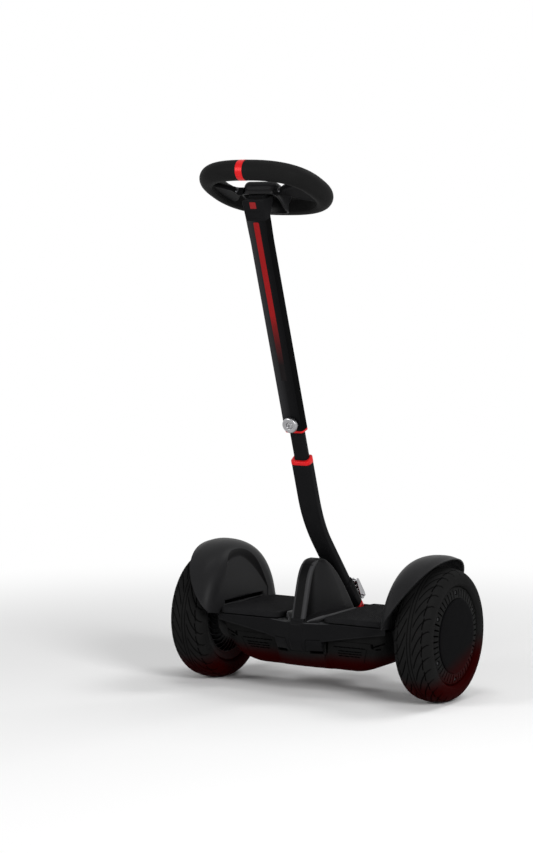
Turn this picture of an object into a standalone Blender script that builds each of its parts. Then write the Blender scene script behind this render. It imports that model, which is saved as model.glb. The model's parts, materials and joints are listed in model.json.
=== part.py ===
"""Self-balancing scooter with a steering wheel on a leaning, height-adjustable column.

Metres, +Z up. It drives towards -Y, and +X is the rider's left. The axle line runs along X.
The pieces are placed about the point on the floor under the axle's middle, and the whole
assembly is then moved along Y so that the origin is the middle of its box, on the floor.
"""
import math

import bmesh
import bpy
import numpy as np
from mathutils import Matrix, Vector

# Clearances
GAP = 0.0003                    # between pieces that touch on the real object
SLIDE_GAP = 0.0004              # between a sliding piece and its guide
TINY = 0.00002                  # how far a cutter's face is kept off a face of what it cuts

# Wheels: 70/65-6.5 tubeless tyres on hub motors
TRACK = 0.4986                  # between the wheels' centre planes
WHEEL_RADIUS = 0.128
TYRE_WIDTH = 0.078
TYRE_WIDEST_RADIUS = 0.104
TYRE_SQUARENESS = 2.6           # exponent of the tyre's superelliptic crown
TYRE_WALL = 0.005
TREAD_THICKNESS = 0.008
RIM_SEAT_RADIUS = 0.0826        # a 6.5 inch rim seat
RIM_FLANGE_RADIUS = 0.0902
RIM_FLANGE_THICKNESS = 0.003
RIM_WIDTH = 0.053
RIM_BORE_RADIUS = 0.0765
COVER_RADIUS = 0.0934
COVER_FACE = 0.0306             # height of the outer cover's face above the centre plane
COVER_THICKNESS = 0.0038
COVER_WEB = 0.0037
COVER_STEP = 0.0044             # how far the web lies behind the cover's face
COVER_EDGE_GAP = 0.0008         # between the cover's edge and the tyre
CAP_RADIUS = 0.0582
CAP_RISE = 0.0050
BEARING_RADIUS = 0.0115
BEARING_LENGTH = 0.008
BEARING_BOSS_RADIUS = 0.020
BEARING_BOSS_DEPTH = 0.0105
COVER_SEAT = 0.0040             # how far a cover's inner face lies inside the rim's edge
FIN_FACE = 0.0290               # depth of the inner cover's finned face
FIN_INNER_RADIUS = 0.046
DISH_INNER_RADIUS, DISH_OUTER_RADIUS = 0.023, 0.041
INNER_HUB_RADIUS, INNER_HUB_FACE = 0.021, 0.0310
AXLE_RADIUS = 0.0085
AXLE_SEAT = 0.0207              # how far it reaches into the frame
AXLE_SHOULDER_RADIUS = 0.013
STATOR_RADIUS = 0.0640
STATOR_WIDTH = 0.023
MAGNET_GAP = 0.0008
MAGNET_WIDTH = 0.025
BEARING_STEP = 0.0010           # how far a bearing stands off its boss's inner end
AXLE_SHOULDER_GAP, AXLE_SHOULDER_LENGTH = 0.0050, 0.0110
AXLE_TIP_GAP = 0.0010           # between its tip and the hub cap
WHEEL_STEPS = 28
STATOR_STEPS = 20
SHAFT_STEPS = 12

# Body between the wheels
DECK_HEIGHT = WHEEL_RADIUS + 0.0185
WHEEL_ARCH = 0.0253             # between the deck's end and the tyre
DECK_HALF_LENGTH = TRACK / 2 - TYRE_WIDTH / 2 - WHEEL_ARCH
DECK_FRONT = 0.0985             # half depth of the deck, along Y
SHELL_WALL = 0.003
DECK_EDGE_RADIUS = 0.0055
SHOULDER_STEP = 0.0010          # where the face ends below its rounded edge
NOSE_REACH = 0.0255             # how far the middle stands out in front of the deck's edge
NOSE_FLAT = 0.0180              # half width of the nose's flat front
NOSE_HALF_WIDTH = 0.056
TAIL_REACH = 0.0495             # the same, behind, where the column's socket is
TAIL_FLAT = 0.0380
TAIL_HALF_WIDTH = 0.072
APRON_LOW = DECK_HEIGHT - 0.0405        # lowest edge of the apron beside the chin
APRON_HIGH = DECK_HEIGHT - 0.0090       # the same edge at the wheel
OPENING_HALF = 0.0400           # the opening round the column's foot
TAIL_SEAM, OPENING_REAR = 0.0865, 0.1375        # the tail cover's front edge and the opening's end
CHIN_LOW = DECK_HEIGHT - 0.0645
CHIN_TUCK_START = DECK_HEIGHT - 0.0345  # below that height the front curves back
CHIN_TUCK = 0.0130
CHIN_BOTTOM_HALF = 0.0505
CHIN_TOP_HALF = 0.0627
TRAY_TOP = APRON_LOW - 0.0025
TRAY_BOTTOM = TRAY_TOP - 0.0515
TRAY_END_RISE = 0.031           # how much higher the tray's floor is at the wheel
TRAY_FLAT_HALF = 0.100
TRAY_FACE_HALF = DECK_HALF_LENGTH - 0.037       # its front is straight up to here, then turns back
TRAY_FRONT = 0.0940
TRAY_TUCK = 0.037               # how far its front curves in towards the floor
CHIN_CLEARANCE = 0.0150         # how far the tray's front is set back behind the chin
CHIN_SIDE_GAP, CHIN_STEP_LENGTH = 0.0013, 0.0060
TRAY_END_FRONT = 0.0660
TRAY_WALL = 0.003
PACK_LENGTH, PACK_DEPTH, PACK_Y = 0.165, 0.084, 0.0075
PACK_LIFT, PACK_HEADROOM, PACK_EDGE = 0.0010, 0.006, 0.003
FRAME_WALL = 0.0040
FRAME_FRONT = 0.0905
FRAME_SHOULDER, FRAME_END_FRONT = DECK_HALF_LENGTH - 0.017, 0.0720
FRAME_TOP = DECK_HEIGHT - SHELL_WALL - 0.0005
FRAME_RIB = 0.006
FRAME_BAYS = (0.046, 0.095, DECK_HALF_LENGTH - 0.035)   # where its bays begin and end along X
BORE_END_GAP = 0.0010

# Foot mats
MAT_INNER = 0.0495
MAT_OUTER = DECK_HALF_LENGTH - 0.0025
MAT_HALF_DEPTH = 0.1000
MAT_THICKNESS = 0.0095
MAT_LIFT = 0.0019               # free height under a mat, which it is pressed through
MAT_CORNER = 0.012
MAT_EDGE = 0.003

# Fenders
FENDER_WALL = 0.0025
FENDER_RADIUS = WHEEL_RADIUS + 0.0215
FENDER_INNER = DECK_HALF_LENGTH + 0.0008        # its inner wall's place along X
FENDER_CROWN = TRACK / 2 - 0.0043       # where it is highest
FENDER_EDGE_TOP = TRACK / 2 + 0.0197    # how far out its free edge reaches at the top
FENDER_FOOT = DECK_HEIGHT - 0.0030      # height of its lower rim
FENDER_TIP_ANGLE = 10.0
FENDER_TIP_WIDTH = 0.0045       # how wide it still is at its front and rear tips
FENDER_WALL_FOOT, FENDER_WALL_TOP = 0.0130, FENDER_RADIUS - 0.0415      # its flat wall's radii
FENDER_SQUARENESS = 2.45
FENDER_EDGE_DROP = 0.0010
FENDER_ROWS, FENDER_COLUMNS = 19, 7

# Hump between the feet
HUMP_TOP = DECK_HEIGHT + 0.1155
HUMP_BAND = 0.0175              # half width of the band over the hump
HUMP_BASE = 0.0275              # half width at its foot
HUMP_FRONT = 0.1260
HUMP_REAR = 0.0745
HUMP_PEAK = -0.0420
HUMP_WALL = 0.0030
HUMP_FLANK = (0.10, 0.55, 0.97)         # where the flank starts to swell, is full and ends
HUMP_EDGE, HUMP_CORNER = 0.012, 0.0025
HUMP_DRAW = 0.0012              # how much the flank is drawn in behind the band
HUMP_REAR_CORNER = 0.0060
BAND_THICKNESS, BAND_EDGE = 0.0024, 0.0011
BAND_FOOT_HALF = 0.0110
BUTTON_RADIUS = 0.0050
BUTTON_HEIGHT = HUMP_TOP - 0.0320
BUTTON_DEPTH = 0.0050
BUTTON_TRAVEL = 0.0010
BUTTON_PROUD = 0.0004

# Column
COLUMN_LEAN = 19.0              # degrees forward of upright, upper part
LEG_LEAN = 41.0                 # the same, foot of the column
BEND_RADIUS = 0.280
BEND_Y, BEND_Z = -0.0483, DECK_HEIGHT + 0.1823      # where the straight parts' lines would meet
LEG_FOOT = 0.247                # from that point down to the base ring's lower face
LOWER_TUBE_WIDTH, LOWER_TUBE_DEPTH = 0.0400, 0.0245
LEG_WIDTH, LEG_DEPTH = 0.0370, 0.0235
TUBE_CORNER = 0.0075
TUBE_WALL = 0.0022
BASE_RING_HEIGHT = 0.0155
BASE_RING_WIDTH, BASE_RING_DEPTH = 0.0405, 0.0272
CLAMP_HEIGHT = 0.0805
CLAMP_WIDTH, CLAMP_DEPTH = 0.0430, 0.0300
CLAMP_CORNER, CLAMP_EDGE, CLAMP_BURIED = 0.0105, 0.0012, 0.003
PLUG_LENGTH = 0.040
PLUG_WIDTH, PLUG_DEPTH = 0.0290, 0.0180
SOCKET_WALL = 0.0038
PIVOT_HEIGHT = DECK_HEIGHT - 0.0285     # the column is leaned sideways about this line to steer
PIVOT_RADIUS = 0.0065
PIVOT_FRONT, PIVOT_BACK = -0.0060, 0.1135
PIVOT_BOSS_RADIUS = 0.0115
PIVOT_BOSS_FRONT = 0.0955
BUSH_RADIUS = 0.0095
BUSH_FLANGE_RADIUS = 0.0120
BUSH_FLANGE = 0.0020
UPPER_TUBE_WIDTH, UPPER_TUBE_DEPTH = 0.0400, 0.0240
UPPER_TUBE_CORNER = 0.0060
UPPER_FOOT_Z = BEND_Z + 0.1847  # height of the upper tube's lower end, on its middle line
UPPER_LENGTH = 0.4235
FLARE_START, FLARE_WIDTH = 0.375, 0.0425
INNER_TUBE_WIDTH, INNER_TUBE_DEPTH = 0.0290, 0.0170
INNER_TUBE_CORNER = 0.0060
INNER_TUBE_OFFSET = 0.0018      # it runs nearer the rear wall, behind the light strip
INNER_TUBE_BELOW = 0.140
INNER_TUBE_ABOVE = 0.215
TRIM_HEIGHT = 0.0040
RED_COLLAR_TOP = 0.0540         # from the upper tube's foot down to the red collar's top
RED_COLLAR_HEIGHT = 0.0135
RED_COLLAR_SLANT = 0.0060       # how much lower its top is in front
STRIP_WIDTH = 0.0145
STRIP_DEPTH = 0.0010
STRIP_BOTTOM, STRIP_TOP = 0.107, 0.4205
HEAD_TOP = 0.4610
HEAD_WIDTH = 0.0456
HEAD_REAR = 0.0340              # from the middle line back to its rear face at the top
NECK_TOP = 0.4640
NECK_WIDTH = 0.0340
NECK_FRONT, NECK_REAR = 0.0020, 0.0325

# Clamp knob and release lever
KNOB_RADIUS = 0.0155
KNOB_THICKNESS = 0.0098
KNOB_HEIGHT = 0.0194            # above the upper tube's foot
KNOB_BOSS_RADIUS = 0.0110
KNOB_BOSS_HEIGHT = 0.0022
KNOB_SCREW_RADIUS = 0.0040
LEVER_HALF_WIDTH = 0.0100
LEVER_TOP = 0.0450              # above its pin, along the leg
LEVER_HEAD = 0.0098             # radius of its rounded foot
LEVER_TIP = 0.0062
LEVER_LEAN = 0.0045             # how much further out its top stands
LEVER_CHEEK = 0.0020
LEVER_PIN_HEIGHT, LEVER_PIN_BACK = 0.0010, 0.0352
LEVER_PIN_RADIUS = 0.0022
LUG_HALF_WIDTH = 0.0060
LUG_TOP = 0.0320
LUG_STEP = 0.0040
LUG_END_RADIUS = 0.0064

# Steering wheel
RING_BACK, RING_ABOVE = 0.0395, 0.0186  # the ring's centre, from the column's upper end
RING_TILT = 21.3                # the front edge stands higher
RING_HALF_WIDTH, RING_HALF_DEPTH = 0.1064, 0.0860
RING_SQUARENESS = 2.3
RING_TUBE_RADIUS = 0.0192
RING_MARK_WIDTH = 0.0140
RING_STEPS, RING_SECTION_STEPS = 32, 10         # the first is a multiple of four
HUB_HALF_WIDTH = 0.0360
HUB_FRONT, HUB_REAR = -0.0262, 0.0440
HUB_LIP_FRONT, HUB_LIP_REAR = -0.0225, -0.0340
HUB_TOP = 0.0045
HUB_CORNER = 0.0120
HUB_WALL = 0.0026
BRIDGE_LOW, BRIDGE_HIGH = -0.0098, -0.0030
BOSS_Y, BOSS_Z = -0.0176, -0.0141
BOSS_RADIUS = 0.0080
SPOKE_ROOT = 0.0363
DISPLAY_HALF_WIDTH, DISPLAY_HALF_DEPTH = 0.0220, 0.0170
DISPLAY_THICKNESS = 0.0022

# Charging socket and lamps, on the rear apron
PORT_X, PORT_Z = -0.1000, DECK_HEIGHT - 0.0190
PORT_RADIUS = 0.0078
PORT_DEPTH = 0.0062
FLAP_WIDTH, FLAP_HEIGHT, FLAP_THICKNESS = 0.0220, 0.0180, 0.0020
LAMP_X, LAMP_Z = DECK_HALF_LENGTH - 0.0480, DECK_HEIGHT - 0.0140
LAMP_WIDTH, LAMP_HEIGHT, LAMP_THICKNESS = 0.0460, 0.0065, 0.0024

LEFT, RIGHT = 1, -1
SIDES = ((LEFT, "left"), (RIGHT, "right"))

parts = bpy.data.collections.new("self_balancing_scooter")
cutters = bpy.data.collections.new("cutters")


# Scene and materials

def clear_scene():
    """Removes whatever the file holds and adds the two collections."""
    for item in list(bpy.data.objects):
        bpy.data.objects.remove(item)
    for group in (parts, cutters):
        bpy.context.scene.collection.children.link(group)


def finish(name, colour, roughness, metallic=0.0, glow=None):
    """A Principled material with a plain colour."""
    material = bpy.data.materials.new(name)
    material.use_nodes = True
    shader = material.node_tree.nodes["Principled BSDF"]
    shader.inputs["Base Color"].default_value = (*colour, 1.0)
    shader.inputs["Roughness"].default_value = roughness
    shader.inputs["Metallic"].default_value = metallic
    if glow:
        shader.inputs["Emission Color"].default_value = (*colour, 1.0)
        shader.inputs["Emission Strength"].default_value = glow
    material.diffuse_color = (*colour, 1.0)
    return material


def palette():
    """Every material by its plain name."""
    return {
        "rubber": finish("tyre_rubber", (0.018, 0.018, 0.019), 0.75),
        "mat": finish("mat_rubber", (0.022, 0.022, 0.023), 0.80),
        "shell": finish("satin_black_plastic", (0.020, 0.020, 0.021), 0.42),
        "matt": finish("matt_black_plastic", (0.015, 0.015, 0.016), 0.60),
        "coat": finish("black_powder_coat", (0.018, 0.018, 0.019), 0.45, 0.2),
        "cast": finish("black_cast_aluminium", (0.030, 0.030, 0.032), 0.50, 0.7),
        "frame": finish("cast_magnesium", (0.055, 0.055, 0.058), 0.55, 0.8),
        "silver": finish("bright_aluminium", (0.62, 0.62, 0.63), 0.25, 1.0),
        "steel": finish("ground_steel", (0.42, 0.42, 0.43), 0.32, 1.0),
        "copper": finish("wound_copper", (0.48, 0.22, 0.10), 0.40, 0.9),
        "magnet": finish("nickel_plated_magnet", (0.35, 0.34, 0.32), 0.30, 1.0),
        "red": finish("red_anodised_aluminium", (0.62, 0.015, 0.015), 0.38, 0.4),
        "light": finish("red_light_strip", (0.55, 0.020, 0.020), 0.30, 0.0, 0.4),
        "grip": finish("soft_grip_polyurethane", (0.020, 0.020, 0.021), 0.55),
        "lens": finish("smoked_lens", (0.010, 0.010, 0.011), 0.12),
        "pack": finish("battery_wrap", (0.045, 0.060, 0.090), 0.50),
    }


def place(item, parent=None, location=(0, 0, 0), rotation=(0, 0, 0), group=None):
    """Links an object, parents it and sets its place in its parent's frame."""
    (group or parts).objects.link(item)
    item.parent = parent
    item.location = location
    item.rotation_euler = rotation
    return item


def empty(name, parent=None, location=(0, 0, 0), rotation=(0, 0, 0)):
    """An empty that stands for a joint or a frame of reference."""
    marker = bpy.data.objects.new(name, None)
    marker.empty_display_size = 0.02
    return place(marker, parent, location, rotation)


def dress(item, material, smooth_angle=35.0):
    """Gives an object its material and smooth shading up to an angle."""
    item.data.materials.clear()
    item.data.materials.append(material)
    item.data.shade_smooth()
    item.data.set_sharp_from_angle(angle=math.radians(smooth_angle))
    return item


# Meshes

def solid(name, points, faces, repair=True):
    """A mesh object from computed points, with its faces turned outwards."""
    mesh = bpy.data.meshes.new(name)
    mesh.from_pydata([tuple(map(float, p)) for p in points], [], faces)
    if repair:
        work = bmesh.new()
        work.from_mesh(mesh)
        bmesh.ops.recalc_face_normals(work, faces=work.faces)
        work.to_mesh(mesh)
        work.free()
    return bpy.data.objects.new(name, mesh)


def loft(name, rings, loop=False):
    """Joins rings of equally many points by quads, and caps the first and the last."""
    count = len(rings[0])
    points = [p for ring in rings for p in ring]
    faces = []
    spans = len(rings) if loop else len(rings) - 1
    for k in range(spans):
        low, high = k * count, ((k + 1) % len(rings)) * count
        for i in range(count):
            j = (i + 1) % count
            faces.append((low + i, low + j, high + j, high + i))
    if not loop:
        faces.append(tuple(reversed(range(count))))
        faces.append(tuple(range((len(rings) - 1) * count, len(rings) * count)))
    return solid(name, points, faces)


def sheet(name, grid):
    """An open surface from rows of points, to be given a wall by a modifier."""
    rows, columns = len(grid), len(grid[0])
    points = [p for row in grid for p in row]
    faces = []
    for a in range(rows - 1):
        for b in range(columns - 1):
            first = a * columns + b
            faces.append((first, first + 1, first + columns + 1, first + columns))
    return solid(name, points, faces, repair=False)


def rounded(width, depth, radius, steps=2):
    """Points of a rounded rectangle, anticlockwise, with its middle at the origin."""
    outline = []
    for quarter, (sx, sy) in enumerate(((1, 1), (-1, 1), (-1, -1), (1, -1))):
        cx, cy = sx * (width / 2 - radius), sy * (depth / 2 - radius)
        for k in range(steps + 1):
            angle = math.radians(90 * quarter + 90 * k / steps)
            outline.append((cx + radius * math.cos(angle), cy + radius * math.sin(angle)))
    return outline


def at_height(outline, z, dx=0.0, dy=0.0):
    """A flat outline as a ring of points at one height."""
    return [(x + dx, y + dy, z) for x, y in outline]


def prism(name, outline, low, high):
    """An upright solid on a flat outline."""
    return loft(name, [at_height(outline, low), at_height(outline, high)])


def block(name, size, centre):
    """A box from a bmesh cube."""
    mesh = bpy.data.meshes.new(name)
    work = bmesh.new()
    scale = Matrix.Diagonal((*size, 1.0))
    bmesh.ops.create_cube(work, size=1.0, matrix=Matrix.Translation(centre) @ scale)
    work.to_mesh(mesh)
    work.free()
    return bpy.data.objects.new(name, mesh)


def rod(name, radius, start, end, steps=SHAFT_STEPS, radius_end=None):
    """A cylinder or cone between two points."""
    start, end = Vector(start), Vector(end)
    along = end - start
    turn = along.to_track_quat("Z", "Y").to_matrix().to_4x4()
    mesh = bpy.data.meshes.new(name)
    work = bmesh.new()
    bmesh.ops.create_cone(work, cap_ends=True, segments=steps, radius1=radius,
                          radius2=radius if radius_end is None else radius_end, depth=along.length,
                          matrix=Matrix.Translation((start + end) / 2) @ turn)
    work.to_mesh(mesh)
    work.free()
    return bpy.data.objects.new(name, mesh)


def turned(name, profile, steps, closed=True):
    """A profile of (radius, height) points turned about Z, listed down its outer side."""
    mesh = bpy.data.meshes.new(name)
    points = [(radius, 0.0, height) for radius, height in profile]
    edges = [(k, k + 1) for k in range(len(points) - 1)]
    if closed:
        edges.append((len(points) - 1, 0))
    mesh.from_pydata(points, edges, [])
    item = bpy.data.objects.new(name, mesh)
    screw = item.modifiers.new("turn", "SCREW")
    screw.axis = "Z"
    screw.angle = 2 * math.pi
    screw.steps = screw.render_steps = steps
    screw.use_merge_vertices = True
    screw.merge_threshold = 0.00001
    screw.use_smooth_shade = True
    return item


def cutter(item, parent=None, location=(0, 0, 0), rotation=(0, 0, 0)):
    """Places an object that only cuts others."""
    place(item, parent, location, rotation, cutters)
    item.hide_render = True
    item.display_type = "WIRE"
    return item


def combine(target, tool, operation):
    """Adds a Boolean of the given kind."""
    step = target.modifiers.new(operation.lower(), "BOOLEAN")
    step.operation = operation
    step.solver = "EXACT"
    step.object = tool
    return target


def cut(target, tool):
    """Takes one solid out of another."""
    return combine(target, tool, "DIFFERENCE")


def fuse(target, tool):
    """Adds one solid to another."""
    return combine(target, tool, "UNION")


def bevel(item, width, segments=2, angle=40.0):
    """Rounds an object's sharp edges."""
    step = item.modifiers.new("round", "BEVEL")
    step.width = width
    step.segments = segments
    step.limit_method = "ANGLE"
    step.angle_limit = math.radians(angle)
    step.use_clamp_overlap = True
    return item


def wall(item, thickness, offset=-1.0):
    """Gives an open surface its thickness, inwards from its outer face."""
    step = item.modifiers.new("wall", "SOLIDIFY")
    step.thickness = thickness
    step.offset = offset
    step.use_even_offset = True
    return item


def mirror_x(item):
    """Mirrors a half that is open at X = 0."""
    step = item.modifiers.new("mirror", "MIRROR")
    step.use_axis = (True, False, False)
    step.use_clip = True
    step.merge_threshold = 0.00005
    return item


def smooth_step(value):
    """A curve from 0 to 1 that is level at both ends."""
    t = min(max(value, 0.0), 1.0)
    return t * t * (3 - 2 * t)


# Wheels

def tyre_profile():
    """The tyre's carcass: crown, sidewalls and beads outside, and the air space inside."""
    half = TYRE_WIDTH / 2
    seat = RIM_SEAT_RADIUS + GAP
    bead = RIM_WIDTH / 2 - RIM_FLANGE_THICKNESS - GAP

    def crown(half_width, top, count):
        rise = top - TYRE_WIDEST_RADIUS
        arc = []
        for k in range(count):
            angle = math.radians(12 + (180 - 24) * k / (count - 1))
            across = math.copysign(abs(math.cos(angle)) ** (2 / TYRE_SQUARENESS), math.cos(angle))
            arc.append((TYRE_WIDEST_RADIUS + rise * math.sin(angle) ** (2 / TYRE_SQUARENESS),
                        half_width * across))
        return arc

    flange = RIM_FLANGE_RADIUS + GAP
    edge = COVER_RADIUS + COVER_EDGE_GAP
    foot = [(seat, bead), (flange, bead), (flange, RIM_WIDTH / 2), (edge, RIM_WIDTH / 2),
            (edge, COVER_FACE)]
    inner_side = [(r, -z) for r, z in (foot[4], foot[1], foot[0])]
    outside = foot + crown(half, WHEEL_RADIUS, 7) + inner_side
    toe = bead - TYRE_WALL
    inside = [(seat, toe)] + crown(half - TYRE_WALL, WHEEL_RADIUS - TREAD_THICKNESS, 3)
    inside += [(seat, -toe)]
    return outside + list(reversed(inside))


def rim_profile():
    """The cast rim: two flanges and a flat bead seat."""
    half = RIM_WIDTH / 2
    shoulder = half - RIM_FLANGE_THICKNESS
    side = [(RIM_BORE_RADIUS, half), (RIM_FLANGE_RADIUS, half), (RIM_FLANGE_RADIUS, shoulder),
            (RIM_SEAT_RADIUS, shoulder)]
    return side + [(r, -z) for r, z in reversed(side)]


def outer_cover_profile():
    """The cover's ring over the rim's edge, its web and the boss round the outer bearing."""
    back = COVER_FACE - COVER_THICKNESS
    step = CAP_RADIUS + GAP
    web_top = COVER_FACE - COVER_STEP
    web = web_top - COVER_WEB
    spigot = RIM_BORE_RADIUS - GAP
    boss = web - BEARING_BOSS_DEPTH
    return [(BEARING_RADIUS, web_top), (step, web_top), (step, COVER_FACE),
            (COVER_RADIUS, COVER_FACE), (COVER_RADIUS, back), (spigot, back), (spigot, web),
            (BEARING_BOSS_RADIUS, web), (BEARING_BOSS_RADIUS, boss), (BEARING_RADIUS, boss)]


def hub_cap_profile():
    """The low dome over the bearing."""
    foot = COVER_FACE - COVER_STEP + GAP
    crown = COVER_FACE + CAP_RISE
    dome = []
    for share in (0.0, 0.45, 0.8):
        dome.append((CAP_RADIUS * share, crown - CAP_RISE * share ** 2.2))
    return dome + [(CAP_RADIUS, COVER_FACE), (CAP_RADIUS, foot), (0.0, foot)]


def inner_cover_profile():
    """The motor's inner cover, with a raised rim, a dished web and the bearing boss."""
    inside = -(RIM_WIDTH / 2 - COVER_SEAT)
    spigot = RIM_BORE_RADIUS - GAP
    web = inside - COVER_WEB
    boss_top = inside + BEARING_BOSS_DEPTH
    return [(BEARING_RADIUS, boss_top), (BEARING_BOSS_RADIUS, boss_top),
            (BEARING_BOSS_RADIUS, inside), (spigot, inside), (spigot, -FIN_FACE),
            (FIN_INNER_RADIUS, -FIN_FACE), (DISH_OUTER_RADIUS, web), (DISH_INNER_RADIUS, web),
            (INNER_HUB_RADIUS, -INNER_HUB_FACE), (BEARING_RADIUS, -INNER_HUB_FACE)]


def ring_profile(inner, outer, low, high):
    """A plain ring."""
    return [(inner, high), (outer, high), (outer, low), (inner, low)]


def axle_profile():
    """The fixed axle, with a shoulder outside the wheel."""
    tip = COVER_FACE - COVER_STEP - AXLE_TIP_GAP
    shoulder = -(FIN_FACE + AXLE_SHOULDER_GAP)
    shoulder_end = shoulder - AXLE_SHOULDER_LENGTH
    end = -(TRACK / 2 - DECK_HALF_LENGTH + AXLE_SEAT)
    return [(0.0, tip), (AXLE_RADIUS, tip), (AXLE_RADIUS, shoulder), (AXLE_SHOULDER_RADIUS, shoulder),
            (AXLE_SHOULDER_RADIUS, shoulder_end), (AXLE_RADIUS, shoulder_end),
            (AXLE_RADIUS, end), (0.0, end)]


def stator_profile():
    """The wound stator on the axle."""
    half = STATOR_WIDTH / 2
    return ring_profile(AXLE_RADIUS + GAP, STATOR_RADIUS, -half, half)


def wheel(side, label, frame, colours):
    """One hub-motor wheel, in a frame whose Z points away from the body."""
    hub = empty(f"{label}_wheel_axis", frame, (side * TRACK / 2, 0, WHEEL_RADIUS),
                (0, side * math.pi / 2, 0))
    bearing_outer = BEARING_RADIUS - GAP
    bearing_inner = AXLE_RADIUS + GAP
    bearing_low = RIM_WIDTH / 2 - COVER_SEAT - BEARING_BOSS_DEPTH + BEARING_STEP
    bearing_high = bearing_low + BEARING_LENGTH
    magnet = ring_profile(STATOR_RADIUS + MAGNET_GAP, RIM_BORE_RADIUS - GAP, -MAGNET_WIDTH / 2,
                          MAGNET_WIDTH / 2)
    pieces = (
        ("tyre", tyre_profile(), True, WHEEL_STEPS, "rubber"),
        ("rim", rim_profile(), True, WHEEL_STEPS, "cast"),
        ("outer_cover", outer_cover_profile(), True, WHEEL_STEPS, "cast"),
        ("hub_cap", hub_cap_profile(), False, WHEEL_STEPS, "shell"),
        ("inner_cover", inner_cover_profile(), True, WHEEL_STEPS, "cast"),
        ("magnet_ring", magnet, True, WHEEL_STEPS, "magnet"),
        ("outer_bearing", ring_profile(bearing_inner, bearing_outer, bearing_low, bearing_high),
         True, SHAFT_STEPS, "steel"),
        ("inner_bearing", ring_profile(bearing_inner, bearing_outer, -bearing_high, -bearing_low),
         True, SHAFT_STEPS, "steel"),
        ("axle", axle_profile(), False, SHAFT_STEPS, "steel"),
        ("stator", stator_profile(), True, STATOR_STEPS, "copper"),
    )
    for name, profile, closed, steps, colour in pieces:
        place(turned(f"{label}_{name}", profile, steps, closed), hub)
        dress(bpy.data.objects[f"{label}_{name}"], colours[colour])


# Body

def nose(x, reach, flat, half_width):
    """How far the middle of the body stands out beyond the deck's edge, at one X."""
    share = (abs(x) - flat) / (half_width - flat)
    return reach * (1.0 - smooth_step(share))


def apron_edge(x):
    """Height of the front cover's lower edge: a chin in the middle, then rising to the wheel."""
    across = abs(x)
    if across <= CHIN_TOP_HALF:
        share = (across - CHIN_BOTTOM_HALF) / (CHIN_TOP_HALF - CHIN_BOTTOM_HALF)
        return CHIN_LOW + (APRON_LOW - CHIN_LOW) * min(max(share, 0.0), 1.0)
    share = (across - CHIN_TOP_HALF) / (DECK_HALF_LENGTH - CHIN_TOP_HALF)
    return APRON_LOW + (APRON_HIGH - APRON_LOW) * share


def apron_front(x, z):
    """Y of the front cover's face: it curves back below the deck."""
    out = DECK_FRONT + nose(x, NOSE_REACH, NOSE_FLAT, NOSE_HALF_WIDTH)
    tuck = max(0.0, (CHIN_TUCK_START - z) / (CHIN_TUCK_START - CHIN_LOW))
    return -(out - CHIN_TUCK * tuck ** 1.6)


def apron_line(x):
    """The front cover's face at one X: its lower edge, its middle and its shoulder."""
    low, high = apron_edge(x), DECK_HEIGHT - DECK_EDGE_RADIUS - SHOULDER_STEP
    return [(x, apron_front(x, z), z) for z in (low, (low + high) / 2, high)]


def edge_corner(shoulder):
    """Insets and heights of the deck's rounded edge above its shoulder."""
    corner = []
    for angle in (45, 90):
        turn = math.radians(angle)
        corner.append((DECK_EDGE_RADIUS * (1 - math.cos(turn)),
                       shoulder + DECK_EDGE_RADIUS * math.sin(turn)))
    return corner


def deck_section(x):
    """The deck cover's outer face at one X, from its front lower edge up and back to the tail."""
    shoulder = DECK_HEIGHT - DECK_EDGE_RADIUS
    edge = apron_front(x, shoulder)
    over = [(x, edge + inset, z) for inset, z in edge_corner(shoulder)]
    return apron_line(x) + over + [(x, TAIL_SEAM - GAP, DECK_HEIGHT)]


def tail_section(x):
    """The tail cover's outer face at one X, from the deck cover's edge back and down."""
    low = max(apron_edge(x), APRON_LOW)
    back = DECK_FRONT + nose(x, TAIL_REACH, TAIL_FLAT, TAIL_HALF_WIDTH)
    shoulder = DECK_HEIGHT - DECK_EDGE_RADIUS
    over = [(x, back - inset, z) for inset, z in reversed(edge_corner(shoulder))]
    return [(x, TAIL_SEAM, DECK_HEIGHT)] + over + [(x, back, shoulder - SHOULDER_STEP), (x, back, low)]


def wall_ready(item):
    """Turns an open surface so that its faces look up and out."""
    work = bmesh.new()
    work.from_mesh(item.data)
    up = sum(face.normal.z * face.calc_area() for face in work.faces)
    if up < 0:
        bmesh.ops.reverse_faces(work, faces=work.faces)
    work.to_mesh(item.data)
    work.free()
    return item


def deck_cover(frame, colours):
    """The upper shell: deck, front apron and chin."""
    chin_middle = (CHIN_BOTTOM_HALF + CHIN_TOP_HALF) / 2
    places = (0.0, NOSE_FLAT, (NOSE_FLAT + TAIL_FLAT) / 2, TAIL_FLAT,
              (TAIL_FLAT + CHIN_BOTTOM_HALF) / 2, CHIN_BOTTOM_HALF, chin_middle, CHIN_TOP_HALF,
              DECK_HALF_LENGTH)
    item = sheet("deck_cover", [deck_section(x) for x in places])
    mirror_x(wall_ready(item))
    wall(item, SHELL_WALL)
    return dress(place(item, frame), colours["shell"])


def tail_cover(frame, colours):
    """The shell's rear part, with the opening that the column's foot leans in."""
    middle = (TAIL_FLAT + TAIL_HALF_WIDTH) / 2
    places = (0.0, TAIL_FLAT, (TAIL_FLAT + middle) / 2, middle, (TAIL_HALF_WIDTH + middle) / 2,
              TAIL_HALF_WIDTH, DECK_HALF_LENGTH)
    item = sheet("tail_cover", [tail_section(x) for x in places])
    mirror_x(wall_ready(item))
    wall(item, SHELL_WALL)
    front = TAIL_SEAM - SHELL_WALL
    size = (2 * OPENING_HALF, OPENING_REAR - front, 4 * SHELL_WALL)
    hole = block("column_opening", size, (0, (OPENING_REAR + front) / 2, DECK_HEIGHT))
    cut(item, cutter(hole, frame))
    return dress(place(item, frame), colours["shell"])


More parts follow.
